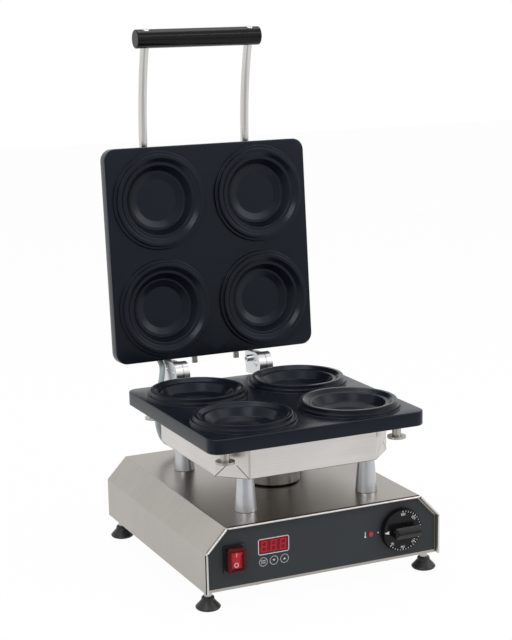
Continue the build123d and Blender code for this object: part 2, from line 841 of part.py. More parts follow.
def hinge_pins():
    """Pins through arm and bracket, with a screwdriver slot in the left end."""
    pins = []
    for index in (0, 1):
        left = arm_x(index)[0] - pin_overhang
        right = bracket_x(index)[1] + pin_overhang
        pin = rod_x_axis(left, right, hinge_y, hinge_z, pin_diameter / 2)
        slot = Pos(hinge_y, hinge_z) * Rectangle(pin_slot_width, pin_diameter + 2, rotation=90)
        pins.append(pin - slab_x(slot, left - 1, left + pin_slot_depth))
    return group(pins)


def flange_screws(pair):
    """Screws from inside the lower tray into the flanges of two hinge pieces."""
    screws = []
    for faces in pair:
        for x, z in flange_screw_places(faces):
            inside = tray_back_y - sheet
            head = rod_y_axis(inside - flange_screw_head_height, inside, x, z, flange_screw_head / 2)
            shank = rod_y_axis(inside, tray_back_y + flange_thickness - 0.5, x, z, flange_screw_diameter / 2)
            screws.append(head + shank)
    return group(screws)


def lid_fasteners():
    """Screws of the hinge flanges, leg screws through the tray floor, two stop screws and the rod nuts."""
    pieces = list(to_lid(flange_screws([arm_x(0), arm_x(1)])).solids())
    seat = 2 * parting - tray_bottom
    for x, y in column_places:
        head = rod_z_axis(seat, seat + bolt_head_height, x, y, bolt_head_diameter / 2)
        socket = Pos(x, y) * RegularPolygon(hex_key / 2, 6, major_radius=False)
        head -= slab_z(socket, seat + bolt_head_height - hex_depth, seat + bolt_head_height + 1)
        shank = rod_z_axis(seat - sheet - bolt_reach, seat, x, y, column_bolt_diameter / 2)
        pieces.append(head + shank)
    y, z = closed_from_open(*stop_place())
    for index in (0, 1):
        outer = arm_x(index)[0]
        inner = bracket_x(index)[1] + hinge_side_gap
        if index == 0:
            head = (inner, inner + stop_screw_head_height)
            mouth = (head[1] - hex_depth, head[1] + 1)
            shank = (outer + 1, inner)
        else:
            head = (outer - stop_screw_head_height, outer)
            mouth = (head[0] - 1, head[0] + hex_depth)
            shank = (outer, inner - 1)
        socket = Pos(hinge_y + y, hinge_z + z) * RegularPolygon(hex_key / 2, 6, major_radius=False)
        screw = rod_x_axis(*head, hinge_y + y, hinge_z + z, stop_screw_head / 2) - slab_x(socket, *mouth)
        pieces.append(screw + rod_x_axis(*shank, hinge_y + y, hinge_z + z, stop_screw_diameter / 2))
    return group(pieces + rod_nuts())


# Handle, lid closed

def rod_angle():
    """Angle that the bowed rod has turned through where it meets the handle's middle."""
    return asin(handle_reach / rod_bend_radius)


def handle_place():
    """Place (y, z) of the handle's middle line with the lid closed."""
    y = tray_front_y - rod_bend_radius * sin(rod_angle())
    z = 2 * parting - plate_face + rod_depth_above_plate - rod_bend_radius * (1 - cos(rod_angle()))
    return y, z


def rod_direction():
    """Unit direction (y, z) of the rod where it meets the handle."""
    return -cos(rod_angle()), -sin(rod_angle())


def handle_rod(x):
    """Bowed steel rod: straight through the tray's front wall, then one wide bend down to the handle."""
    z = 2 * parting - plate_face + rod_depth_above_plate
    end_y, end_z = handle_place()
    half = rod_angle() / 2
    middle = (x, tray_front_y - rod_bend_radius * sin(half), z - rod_bend_radius * (1 - cos(half)))
    start = (x, tray_front_y + rod_inside, z)
    path = Line(start, (x, tray_front_y, z)) + ThreePointArc((x, tray_front_y, z), middle, (x, end_y, end_z))
    section = Plane(origin=start, z_dir=(0, -1, 0)) * Circle(rod_diameter / 2)
    rod = sweep(section, path=path)
    return rod - handle_screw_bore(x)


def rod_nuts():
    """Nuts inside the lid's tray that hold the rods in its front wall, lid closed."""
    nuts = []
    z = 2 * parting - plate_face + rod_depth_above_plate
    inside = tray_front_y + sheet
    back = inside + rod_nut_thickness
    for x in (-rod_x, rod_x):
        nut = Pos(x, z) * RegularPolygon(rod_nut_flats / 2, 6, major_radius=False)
        bore = rod_y_axis(inside - 1, back + 1, x, z, rod_diameter / 2 + thread_clearance)
        nuts.append(slab_y(nut, inside, back) - bore)
    return nuts


def handle_screw_bore(x, radius=handle_screw_diameter / 2 + thread_clearance):
    """Bore along the rod's end direction, from inside the rod out through the far side of the handle."""
    y, z = handle_place()
    dy, dz = rod_direction()
    start = (x, y - dy * handle_diameter * 0.6, z - dz * handle_diameter * 0.6)
    section = Plane(origin=start, z_dir=(0, dy, dz)) * Circle(radius)
    return extrude(section, handle_diameter * 1.4)


def handle_grip():
    """Round bar across both rods."""
    y, z = handle_place()
    bar = rod_x_axis(-handle_length / 2, handle_length / 2, y, z, handle_diameter / 2)
    bar = fillet(bar.edges().filter_by(GeomType.CIRCLE), handle_end_radius)
    dy, dz = rod_direction()
    for x in (-rod_x, rod_x):
        start = (x, y - dy * handle_diameter, z - dz * handle_diameter)
        socket = Plane(origin=start, z_dir=(0, dy, dz)) * Circle(rod_diameter / 2 + rod_seat_clearance)
        bar -= extrude(socket, handle_diameter + rod_seat_clearance)
        bar -= handle_screw_bore(x)
        far = (x, y + dy * (handle_diameter / 2 - 2.5), z + dz * (handle_diameter / 2 - 2.5))
        sink = Plane(origin=far, z_dir=(0, dy, dz)) * Circle(handle_screw_head / 2 + rod_seat_clearance)
        bar -= extrude(sink, handle_diameter / 2)
    return bar


def handle_screws():
    """Screws through the handle into the ends of the rods."""
    y, z = handle_place()
    dy, dz = rod_direction()
    screws = []
    for x in (-rod_x, rod_x):
        seat = handle_diameter / 2 - 2.5
        origin = (x, y + dy * seat, z + dz * seat)
        plane = Plane(origin=origin, z_dir=(0, dy, dz))
        head = extrude(plane * Circle(handle_screw_head / 2), 3.0)
        head = fillet(head.edges().filter_by(GeomType.CIRCLE).sort_by_distance(origin)[-1], 1.0)
        shank = extrude(plane * Circle(handle_screw_diameter / 2), -(seat + handle_diameter * 0.5))
        screws.append(head + shank)
    return group(screws)


# Controls

def switch_housing():
    """Rocker switch body: flange and raised frame in front of the fascia, with a pocket for the rocker."""
    z = foot_height + switch_z
    frame = slab_y(
        Pos(switch_x, z) * RectangleRounded(switch_frame_width, switch_frame_height, 2.5),
        fascia_y - switch_flange_thickness, fascia_y,
    )
    width = cover_width - 2 * switch_frame_margin
    height = cover_height - 2 * switch_frame_margin
    raised = Pos(switch_x, z) * RectangleRounded(width, height, 3)
    frame += slab_y(raised, fascia_y - switch_frame_thickness, fascia_y)
    body = slab_y(
        Pos(switch_x, z) * Rectangle(switch_body_width, switch_body_height),
        fascia_y, panel_y + switch_body_depth,
    )
    pocket = Rectangle(rocker_width + 2 * rocker_clearance, rocker_height + 2 * rocker_clearance)
    pocket = slab_y(Pos(switch_x, z) * pocket, fascia_y - switch_frame_thickness - 1, panel_y + 12)
    reach = rocker_width / 2 + rocker_axle_overhang + 2 * rocker_clearance
    radius = rocker_axle_diameter / 2 + pin_clearance
    return frame + body - pocket - rod_x_axis(switch_x - reach, switch_x + reach, *rocker_axis(), radius)


def rocker_axis():
    """Place (y, z) of the rocker's pivot."""
    return fascia_y - switch_frame_thickness + rocker_pivot_depth, foot_height + switch_z


def power_rocker():
    """Rocker with two shallow flanks, turned so that one half stands proud."""
    y0, z0 = rocker_axis()
    face = y0 - rocker_pivot_depth - rocker_rise
    half = rocker_height / 2
    back = y0 + rocker_pivot_depth + 1
    profile = make_face(
        ThreePointArc((face, z0 - half), (face + 1.6, z0), (face, z0 + half))
        + Polyline((face, z0 + half), (back, z0 + half - 1.5), (back, z0 - half + 1.5), (face, z0 - half))
    )
    body = slab_x(profile, switch_x - rocker_width / 2, switch_x + rocker_width / 2)
    reach = rocker_width / 2 + rocker_clearance + rocker_axle_overhang
    axle = rod_x_axis(switch_x - reach, switch_x + reach, y0, z0, rocker_axle_diameter / 2)
    return (body + axle).rotate(Axis((0, y0, z0), (1, 0, 0)), rocker_tilt / 2)


def switch_cover():
    """Clear splash cover, a rounded cap over the rocker."""
    z = foot_height + switch_z
    seat = fascia_y - switch_frame_thickness
    outside = RectangleRounded(cover_width, cover_height, 4.5)
    shell = slab_y(Pos(switch_x, z) * outside, seat - cover_rise, seat)
    shell = fillet(shell.edges().group_by(Axis.Y)[0], 2.5)
    inside = RectangleRounded(cover_width - 2 * cover_wall, cover_height - 2 * cover_wall, 3.6)
    hollow = slab_y(Pos(switch_x, z) * inside, seat - cover_rise + cover_wall, seat + 1)
    hollow = fillet(hollow.edges().group_by(Axis.Y)[0], 1.8)
    return shell - hollow


def display_window():
    """Tinted window, flush with the fascia."""
    shape = Pos(display_x, foot_height + display_z) * Rectangle(display_width, display_height)
    return slab_y(shape, fascia_y, panel_y)


def display_module():
    """Three-digit display block behind the window, on the timer board."""
    shape = Pos(display_x, foot_height + display_z) * Rectangle(module_width, module_height)
    return slab_y(shape, panel_y, board_y)


def key(index):
    """Round key in the fascia with a plunger to its button."""
    x = display_x + index * key_pitch
    z = foot_height + key_z
    cap_back = fascia_y - key_rise + key_thickness
    cap = rod_y_axis(fascia_y - key_rise, cap_back, x, z, key_diameter / 2)
    return cap + rod_y_axis(cap_back, board_y - button_height - key_travel, x, z, button_body / 2 - 1)


def timer_board():
    """Circuit board with its three push buttons and a buzzer."""
    z = foot_height + (display_z + key_z) / 2
    shape = Pos(display_x, z - 2) * Rectangle(board_width, board_height)
    pieces = [slab_y(shape, board_y, board_y + board_thickness)]
    for index in (-1, 0, 1):
        button = Pos(display_x + index * key_pitch, foot_height + key_z) * Rectangle(button_body, button_body)
        pieces.append(slab_y(button, board_y - button_height, board_y))
    pieces.append(rod_y_axis(board_y + board_thickness, board_y + 11, display_x + 26, z + 6, 6))
    for x in (display_x - board_width / 2 + 4, display_x + board_width / 2 - 4):
        pieces.append(rod_y_axis(panel_y + sheet, board_y, x, z - 2, 2.5))
    return group(pieces)


def heat_lamp():
    """Red signal lamp: domed lens in front of the fascia, body through the panel."""
    z = foot_height + lamp_z
    lens = rod_y_axis(fascia_y - 1.5, fascia_y, lamp_x, z, lamp_diameter / 2)
    lens = fillet(lens.edges().group_by(Axis.Y)[0], 1.0)
    return lens + rod_y_axis(fascia_y, fascia_y + lamp_body_length, lamp_x, z, lamp_body_diameter / 2)


def knob_front():
    """Depth of the knob's skirt face."""
    return fascia_y - knob_gap - knob_skirt


def thermostat_knob():
    """Dial knob: a wide skirt that carries the scale and a raised grip bar across it."""
    z = foot_height + knob_z
    rear = fascia_y - knob_gap
    face = knob_front()
    outer = knob_diameter / 2
    inner = knob_face_diameter / 2
    profile = closed_face(
        [
            (0, 0), (outer, 0), (outer, 1.5), (inner, knob_skirt - 0.6), (inner - 0.6, knob_skirt),
            (0, knob_skirt),
        ]
    )
    skirt = revolve(Plane.XZ * profile, Axis.Z)
    turned = Plane(origin=(knob_x, rear, z), x_dir=(1, 0, 0), z_dir=(0, -1, 0))
    skirt = turned * skirt
    height = knob_height - knob_skirt
    sections = []
    for (left, right, half), rise in (
        (grip_foot, 0), (grip_shoulder, grip_shoulder_height), (grip_ridge, height)
    ):
        level = Plane(origin=(knob_x, face - rise, z), x_dir=(1, 0, 0), z_dir=(0, -1, 0))
        sections.append(level * Pos((left + right) / 2, 0) * Rectangle(right - left, 2 * half))
    bar = loft(sections, ruled=True)
    knob = skirt + bar
    bore = rod_y_axis(face + 1 - height * 0.4, rear + 1, knob_x, z, shaft_diameter / 2 + shaft_clearance)
    return knob - bore


def thermostat_shaft():
    """Round shaft of the thermostat, turned by the knob."""
    z = foot_height + knob_z
    front = knob_front() + 1.5 - (knob_height - knob_skirt) * 0.4
    return rod_y_axis(front, panel_y + sheet + 6, knob_x, z, shaft_diameter / 2)


def thermostat_body():
    """Thermostat behind the panel, with its bushing through the panel."""
    z = foot_height + knob_z
    size = thermostat_size
    back = panel_y + sheet + thermostat_depth
    shape = Pos(knob_x, z - 2) * RectangleRounded(size, size, 3)
    body = slab_y(shape, panel_y + sheet, back)
    body += rod_y_axis(fascia_y - knob_gap / 2, panel_y + sheet, knob_x, z, bushing_diameter / 2)
    bore = shaft_diameter / 2 + shaft_clearance
    return body - rod_y_axis(fascia_y - 2, panel_y + sheet + 6.5, knob_x, z, bore)


def capillary_bulb():
    """Thin tube from the thermostat through duct and tray to the feeler below the heater plate."""
    z = foot_height + knob_z
    bulb_z = plate_bottom - heater_plate_thickness - element_gap - bulb_diameter / 2
    low = foot_height + 14
    back = panel_y + sheet + thermostat_depth
    centre = plate_centre_y
    route = [
        (knob_x - 12, back, z - 12), (knob_x - 12, back + 26, z - 12), (60, back + 60, low + 6),
        (28, centre - 40, low), (0, centre, low + 4), (0, centre, bulb_z - 12), (0, centre + 4, bulb_z),
        (0, centre + 12, bulb_z),
    ]
    path = FilletPolyline(*route, radius=[9, 18, 18, 10, 4, 3])
    section = Plane(origin=path @ 0, z_dir=path % 0) * Circle(capillary_diameter / 2)
    tube = sweep(section, path=path)
    return tube + rod_y_axis(centre + 11, centre + 11 + bulb_length, 0, bulb_z, bulb_diameter / 2)


# Lead, gland and parts on the floor

def lid_lead_z():
    """Height of the lead's hole in the closed lid's tray wall."""
    return 2 * parting - tray_rim + lead_lid_height


def open_from_closed(y, z):
    """Turn a place of the closed lid up to the open stop."""
    angle = radians(lid_open_angle)
    dy = y - hinge_y
    dz = z - hinge_z
    return hinge_y + dy * cos(angle) + dz * sin(angle), hinge_z - dy * sin(angle) + dz * cos(angle)


def lead_route():
    """Corner points of the lead, from inside the housing up through the grommet of the open lid."""
    end_y, end_z = open_from_closed(tray_back_y, lid_lead_z())
    tilt = radians(lid_open_angle)
    step_y = -cos(tilt)
    step_z = sin(tilt)
    route = [(lead_base_x, lead_base_y, base_top + rise) for rise in (-lead_inside, lead_base_straight)]
    route += [(x, y, base_top + rise) for x, y, rise in lead_bow]
    route.append((lead_x, end_y - lead_straight * step_y, end_z - lead_straight * step_z))
    route.append((lead_x, end_y + lead_inside * step_y, end_z + lead_inside * step_z))
    return route


def lid_lead():
    """Sleeved lead, whole along its route between base and open lid, in straight runs and wide arcs."""
    points = [Vector(*place) for place in lead_route()]
    radii = []
    for before, here, after in zip(points, points[1:], points[2:]):
        turn = radians((here - before).get_angle(after - here))
        radii.append(0.48 * min((here - before).length, (after - here).length) / tan(turn / 2))
    print("lead radii", [round(radius, 1) for radius in radii])
    path = FilletPolyline(*points, radius=radii)
    section = Plane(origin=path @ 0, z_dir=path % 0) * Circle(lead_diameter / 2)
    tube = sweep(section, path=path)
    print("lead volume over section times length", round(tube.volume / (section.area * path.length), 4))
    return tube


def grommet():
    """Rubber grommet about the upright axis: waist in the sheet, a rim on both sides."""
    bore = lead_diameter / 2 + 0.3
    rim = grommet_diameter / 2
    waist = grommet_waist / 2 - 0.05
    profile = closed_face(
        [
            (bore, -sheet - grommet_rim), (rim - 0.8, -sheet - grommet_rim), (rim - 0.8, -sheet),
            (waist, -sheet), (waist, 0), (rim, 0), (rim - 0.6, grommet_rim), (bore, grommet_rim),
        ]
    )
    return revolve(Plane.XZ * profile, Axis.Z)


def base_grommet():
    """Grommet in the top of the hood."""
    return Pos(lead_base_x, lead_base_y, base_top) * grommet()


def lid_grommet():
    """Grommet in the back wall of the lid's tray, lid closed."""
    wall = Plane(origin=(lead_x, tray_back_y, lid_lead_z()), x_dir=(1, 0, 0), z_dir=(0, 1, 0))
    return wall * grommet()


def cable_gland():
    """Inlet gland in the back panel with its lock nut inside."""
    z = foot_height + gland_z
    thread = gland_thread_diameter / 2
    face = base_depth
    shell = rod_y_axis(face - sheet - gland_inside, face, gland_x, z, thread)
    hexagon = Pos(gland_x, z) * RegularPolygon(gland_hex / 2, 6, major_radius=False)
    shell += slab_y(hexagon, face, face + 6)
    shell += rod_y_axis(face + 6, face + gland_length, gland_x, z, gland_dome_diameter / 2)
    shell = fillet(shell.edges().group_by(Axis.Y)[-1], 2.5)
    shell -= rod_y_axis(face - sheet - gland_inside - 1, face + gland_length + 1, gland_x, z, gland_bore / 2)
    nut = slab_y(hexagon, face - sheet - 5, face - sheet)
    nut -= rod_y_axis(face - sheet - 6, face, gland_x, z, thread + thread_clearance)
    return group([shell, nut])


def floor_block(size, place, edge):
    """Moulded block standing on the floor sheet."""
    width, depth, height = size
    block = Pos(place[0], place[1], foot_height + sheet + height / 2) * Box(width, depth, height)
    return fillet(block.edges().filter_by(Axis.Z), edge)


def power_relay():
    """Relay for the two heating circuits."""
    return floor_block(relay_size, relay_place, 3)


def terminal_block():
    """Five-way terminal block with its screw wells."""
    width, depth, height = terminal_size
    block = floor_block(terminal_size, terminal_place, 2)
    top = foot_height + sheet + height
    for index in range(5):
        x = terminal_place[0] + (index - 2) * width / 5.4
        for y in (terminal_place[1] - depth / 4, terminal_place[1] + depth / 4):
            block -= rod_z_axis(top - 8, top + 1, x, y, 2.4)
    return block


# All pieces, lid closed

fixed = {
    "base_hood": base_hood(),
    "base_floor": without_screw_holes(base_floor()),
    "front_panel": without_screw_holes(front_panel()),
    "front_fascia": front_fascia(),
    "back_panel": without_screw_holes(back_panel()),
    "housing_screws": housing_screws(),
    "foot_studs": foot_studs(),
    "column_bolts": column_bolts(),
    "cable_duct": cable_duct(),
    "lower_tray": lower_tray(),
    "lower_insulation": insulation(),
    "lower_heating_element": heating_element(),
    "lower_heater_plate": heater_plate(),
    "lower_baking_plate": baking_plate(),
    "lower_plate_fixings": plate_fixings(),
    "hinge_bracket_left": hinge_bracket(0),
    "hinge_bracket_right": hinge_bracket(1),
    "hinge_pins": hinge_pins(),
    "flange_screws": flange_screws([bracket_x(0), bracket_x(1)]),
    "switch_housing": switch_housing(),
    "power_rocker": power_rocker(),
    "switch_cover": switch_cover(),
    "display_window": display_window(),
    "display_module": display_module(),
    "key_start": key(-1),
    "key_down": key(0),
    "key_up": key(1),
    "timer_board": timer_board(),
    "heat_lamp": heat_lamp(),
    "thermostat_knob": thermostat_knob(),
    "thermostat_shaft": thermostat_shaft(),
    "thermostat_body": thermostat_body(),
    "capillary_bulb": capillary_bulb(),
    "power_relay": power_relay(),
    "terminal_block": terminal_block(),
    "cable_gland": cable_gland(),
    "base_grommet": base_grommet(),
    "lid_lead": lid_lead(),
}
corner_names = ["front_left", "back_left", "front_right", "back_right"]
for name, (x, y) in zip(corner_names, foot_places):
    fixed["foot_" + name] = foot(x, y)
for name, (x, y) in zip(corner_names, column_places):
    fixed["column_" + name] = column(x, y)

moving = {
    "lid_tray": lid_tray(),
    "lid_insulation": to_lid(insulation()),
    "lid_heating_element": to_lid(heating_element()),
    "lid_heater_plate": to_lid(heater_plate()),
    "upper_baking_plate": to_lid(baking_plate()),
    "upper_plate_fixings": to_lid(plate_fixings()),
    "hinge_arm_left": hinge_arm(0),
    "hinge_arm_right": hinge_arm(1),
    "lid_fasteners": lid_fasteners(),
    "lid_grommet": lid_grommet(),
    "handle_rod_left": handle_rod(-rod_x),
    "handle_rod_right": handle_rod(rod_x),
    "handle_grip": handle_grip(),
    "handle_screws": handle_screws(),
}

# Open the lid, move the origin to the bottom centre and write each piece

hinge_axis = Axis((0, hinge_y, hinge_z), (1, 0, 0))
pieces = dict(fixed)
for name, shape in moving.items():
    pieces[name] = shape.rotate(hinge_axis, -lid_open_angle)

boxes = [shape.bounding_box() for shape in pieces.values()]
front = min(box.min.Y for box in boxes)
back = max(box.max.Y for box in boxes)
shift_y = -(front + back) / 2

os.makedirs("parts", exist_ok=True)
for name, shape in pieces.items():
    export_step(Pos(0, shift_y, 0) * shape, "parts/" + name + ".step")

rocker_y, rocker_z = rocker_axis()
print("shift", round(shift_y, 4))
print("hinge axis", round(hinge_y + shift_y, 4), round(hinge_z, 4))
print("rocker axis", round(rocker_y + shift_y, 4), round(rocker_z, 4))
print("knob axis", knob_x, foot_height + knob_z)
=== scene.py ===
import json
from math import cos, pi, radians, sin, sqrt

import bmesh
import bpy
import numpy as np
from mathutils import Matrix, Vector


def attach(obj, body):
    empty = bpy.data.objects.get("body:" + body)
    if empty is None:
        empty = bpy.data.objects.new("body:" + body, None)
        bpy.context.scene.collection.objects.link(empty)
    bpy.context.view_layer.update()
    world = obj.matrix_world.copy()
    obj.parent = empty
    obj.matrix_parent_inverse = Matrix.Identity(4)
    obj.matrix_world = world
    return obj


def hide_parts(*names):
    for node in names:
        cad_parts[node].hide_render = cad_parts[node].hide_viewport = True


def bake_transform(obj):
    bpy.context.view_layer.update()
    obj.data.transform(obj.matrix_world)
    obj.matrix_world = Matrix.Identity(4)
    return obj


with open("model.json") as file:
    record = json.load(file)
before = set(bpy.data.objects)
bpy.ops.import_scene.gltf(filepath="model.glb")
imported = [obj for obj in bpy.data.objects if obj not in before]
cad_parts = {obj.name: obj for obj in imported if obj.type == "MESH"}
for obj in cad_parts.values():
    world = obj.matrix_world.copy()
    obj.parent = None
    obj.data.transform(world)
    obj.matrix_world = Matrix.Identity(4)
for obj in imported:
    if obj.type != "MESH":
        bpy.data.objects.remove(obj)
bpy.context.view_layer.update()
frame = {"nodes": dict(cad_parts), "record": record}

# Sizes of the object in millimetres. X to the right, Y to the back, Z up from the table.

# Housing: a folded hood of sheet steel with sloping shoulders and a hem on its front edge
front = -203.8975
back = front + 356.0
half_width = 165.0
base_low = 27.0
base_top = 109.0
shoulder_width = 28.0
shoulder_drop = 29.5
sheet = 1.5
hem = 2.6
hem_depth = 5.0

# Front panel: the face of its film, and the middles of what is on it
film_y = front + 6.4
rocker_x, rocker_z = -126.0, 67.0
display_x, display_z = -71.6, 75.0
start_x, down_x, up_x, key_z = -86.2, -71.6, -57.0, 55.5
key_rise = 0.2
thermometer_x = 58.0
index_x, index_z = 76.6, 67.2
knob_x, knob_z = 108.5, 67.4
knob_base, knob_depth = film_y - 0.8, 8.0
print_lift = 0.03

# Baking plates and trays. The lid's are the lower ones, mirrored at the parting and turned up.
plate_y = -46.0975
plate_low, plate_high = 199.7, 218.7
plate_half_x, plate_half_y = 151.0, 149.0
plate_corner = 16.0
plate_edge = 1.6
mould_x, mould_y = 75.5, 75.0
tray_bottom, tray_rim = 155.0, 198.5
tray_half_x, tray_half_y, tray_cut = 123.4, 124.3, 33.4
parting = 228.3
hinge_y = 121.4025
open_angle = 94.35
handle_y, handle_z = front - 138.7, 209.68


def corner_places(x, near, far):
    """Places of the four feet or the four columns, by name."""
    return {
        "front_left": (-x, near), "front_right": (x, near),
        "back_left": (-x, far), "back_right": (x, far),
    }


foot_x, foot_inset = 154.6, 24.2
column_x, column_reach = 86.5, 102.0
foot_places = corner_places(foot_x, front + foot_inset, back - foot_inset)
column_places = corner_places(column_x, plate_y - column_reach, plate_y + column_reach)

# Materials

materials = {}
millimetres = 1000.0
axis_x, axis_y, axis_z = range(3)


class Link:
    """An output of a shader node. Arithmetic on it adds Math nodes."""

    def __init__(self, nodes, socket):
        self.nodes = nodes
        self.socket = socket

    def math(self, operation, *values):
        return self.nodes.node("ShaderNodeMath", {"operation": operation}, dict(enumerate(values)))

    def __add__(self, other):
        return self.math("ADD", self, other)

    def __radd__(self, other):
        return self.math("ADD", other, self)

    def __sub__(self, other):
        return self.math("SUBTRACT", self, other)

    def __rsub__(self, other):
        return self.math("SUBTRACT", other, self)

    def __mul__(self, other):
        return self.math("MULTIPLY", self, other)

    def __rmul__(self, other):
        return self.math("MULTIPLY", other, self)

    def __truediv__(self, other):
        return self.math("DIVIDE", self, other)

    def __rtruediv__(self, other):
        return self.math("DIVIDE", other, self)

    def __abs__(self):
        return self.math("ABSOLUTE", self)

    def above(self, level):
        return self.math("GREATER_THAN", self, level)

    def below(self, level):
        return self.math("LESS_THAN", self, level)

    def most(self, other):
        return self.math("MAXIMUM", self, other)

    def root(self):
        return self.math("SQRT", self)

    def ramp(self, low, high):
        """0 where the value is below low, 1 above high, straight between."""
        levels = {"Value": self, "From Min": low, "From Max": high}
        return self.nodes.node("ShaderNodeMapRange", {"clamp": True}, levels)


class Nodes:
    """A node tree of a material or of the world."""

    def __init__(self, tree):
        self.tree = tree

    def node(self, kind, settings=None, inputs=None, output=0):
        """Adds a node: its settings first, then the values or links of its sockets."""
        made = self.tree.nodes.new(kind)
        for key, value in (settings or {}).items():
            setattr(made, key, value)
        for key, value in (inputs or {}).items():
            if isinstance(value, Link):
                self.tree.links.new(value.socket, made.inputs[key])
            else:
                made.inputs[key].default_value = value
        return Link(self, made.outputs[output])

    def show(self, shader, output):
        """Makes a shader the surface of an output node."""
        self.tree.links.new(shader.socket, output.inputs["Surface"])

    def seen(self):
        """1 for the rays of the camera, of reflections and of what is seen through clear parts."""
        rays = [self.node("ShaderNodeLightPath", output="Is %s Ray" % kind)
                for kind in ("Camera", "Glossy", "Transmission")]
        return rays[0].most(rays[1]).most(rays[2])


class Finish(Nodes):
    """One material of the object: its node tree and its Principled shader."""

    def __init__(self, name, **constants):
        self.material = bpy.data.materials.new(name)
        self.material.use_nodes = True
        super().__init__(self.material.node_tree)
        self.shader = self.tree.nodes["Principled BSDF"]
        self.output = self.tree.nodes["Material Output"]
        for socket, value in constants.items():
            self.shader.inputs[socket.replace("_", " ")].default_value = value
        materials[name] = self.material

    def feed(self, socket, link):
        self.tree.links.new(link.socket, self.shader.inputs[socket])

    def place(self):
        """The point on the piece, in metres."""
        return self.node("ShaderNodeTexCoord", output="Object")

    def part(self, vector, axis):
        """One coordinate of a vector."""
        return self.node("ShaderNodeSeparateXYZ", {}, {0: vector}, output=axis)

    def level(self, axis):
        """One coordinate of the point on the piece, in millimetres."""
        return self.part(self.place(), axis) * millimetres

    def noise(self, scale, detail, roughness, stretch=None):
        """Noise at the point on the piece, which may be stretched by a factor for each axis."""
        vector = self.place()
        if stretch:
            factors = {0: vector, 1: stretch}
            vector = self.node("ShaderNodeVectorMath", {"operation": "MULTIPLY"}, factors)
        values = {"Vector": vector, "Scale": scale, "Detail": detail, "Roughness": roughness}
        return self.node("ShaderNodeTexNoise", {}, values)

    def colour(self, factor, first, second):
        """A colour between two colours or colour links. The node has sockets for every kind of
        value, and these are the places of the colour ones."""
        first_socket, second_socket, result = 6, 7, 2
        values = {0: factor}
        for key, value in ((first_socket, first), (second_socket, second)):
            values[key] = value if isinstance(value, Link) else (*value, 1.0)
        return self.node("ShaderNodeMix", {"data_type": "RGBA"}, values, output=result)

    def paint(self, mask, ink):
        """Another colour where the mask is 1, over the colour that the shader has so far."""
        so_far = Link(self, self.shader.inputs["Base Color"].links[0].from_socket)
        self.feed("Base Color", self.colour(mask, so_far, ink))

    def vary(self, factor, dark, light, rough, depth, fine, clouds, fine_swing, cloud_swing):
        """Colour from dark to light by the factor, roughness that swings with the fine noise and
        with the clouds, and the fine noise as relief, its depth in metres."""
        middle = 0.5
        self.feed("Base Color", self.colour(factor, dark, light))
        rough = rough + fine_swing * (fine - middle)
        self.feed("Roughness", rough + cloud_swing * (clouds - middle))
        relief = {"Height": fine, "Distance": depth, "Strength": 1.0}
        self.feed("Normal", self.node("ShaderNodeBump", {}, relief))


def brushed(name, dark, light, grain, rough, depth):
    """Ground sheet: fine lines that vary quickly on one axis, with cloudy patches."""
    finish = Finish(name, Metallic=1.0)
    lines = finish.noise(scale=1.0, detail=3.0, roughness=0.62, stretch=grain)
    clouds = finish.noise(scale=9.0, detail=3.0, roughness=0.55)
    factor = lines * 0.55 + clouds * 0.45
    finish.vary(factor, dark, light, rough, depth, lines, clouds,
                fine_swing=0.12, cloud_swing=0.08)
    return finish


def turned_metal(name, dark, light, grain, rough, depth):
    """Lathe-turned metal: rings that vary only along the piece's own axis."""
    finish = Finish(name, Metallic=1.0)
    rings = finish.noise(scale=1.0, detail=3.0, roughness=0.6, stretch=grain)
    clouds = finish.noise(scale=30.0, detail=2.0, roughness=0.5)
    factor = rings * 0.5 + clouds * 0.5
    finish.vary(factor, dark, light, rough, depth, rings, clouds,
                fine_swing=0.1, cloud_swing=0.05)


def satin(name, dark, light, rough, spread, scale, depth, metallic=0.0, **constants):
    """Even surface with fine specks and slow variation: plastics, castings, coatings, plating."""
    finish = Finish(name, Metallic=metallic, **constants)
    specks = finish.noise(scale, detail=4.0, roughness=0.6)
    clouds = finish.noise(scale=14.0, detail=3.0, roughness=0.5)
    factor = (specks * 0.6 + clouds * 0.4).ramp(0.3, 0.7)
    finish.vary(factor, dark, light, rough, depth, specks, clouds,
                fine_swing=spread, cloud_swing=0.5 * spread)
    return finish


def printed(name, ground, marks, ink, rough, spread, scale, depth, specular):
    """Satin surface with printed marks: a mask of 0 and 1 made from x and z in millimetres."""
    finish = satin(name, *ground, rough, spread, scale, depth, Specular_IOR_Level=specular)
    finish.paint(marks(finish.level(axis_x), finish.level(axis_z)), ink)


def distance(x, z, at_x, at_z):
    """Distance in the x-z plane from a point."""
    return ((x - at_x) * (x - at_x) + (z - at_z) * (z - at_z)).root()


def disc(x, z, at_x, at_z, radius):
    """Round dot."""
    return distance(x, z, at_x, at_z).below(radius)


def circle(x, z, at_x, at_z, radius, half_line):
    """Thin round line."""
    return abs(distance(x, z, at_x, at_z) - radius).below(half_line)


def bar(x, z, at_x, at_z, half_x, half_z):
    """Upright stroke."""
    return abs(x - at_x).below(half_x) * abs(z - at_z).below(half_z)


def rounded_line(x, z, at_x, at_z, half_x, half_z, corner, half_line):
    """Line around a rounded rectangle."""
    u = (abs(x - at_x) - (half_x - corner)).most(0.0)
    v = (abs(z - at_z) - (half_z - corner)).most(0.0)
    return abs((u * u + v * v).root() - corner).below(half_line)


def arrow(x, z, at_x, sign, half=1.0, taper=0.75, foot=-1.4):
    """Small triangle on a key that points up for sign 1 and down for sign -1: half its width at
    the middle of the key, what that loses per millimetre of rise, and the height of its foot."""
    rise = (z - key_z) * sign
    return (abs(x - at_x) + rise * taper).below(half) * rise.above(foot)


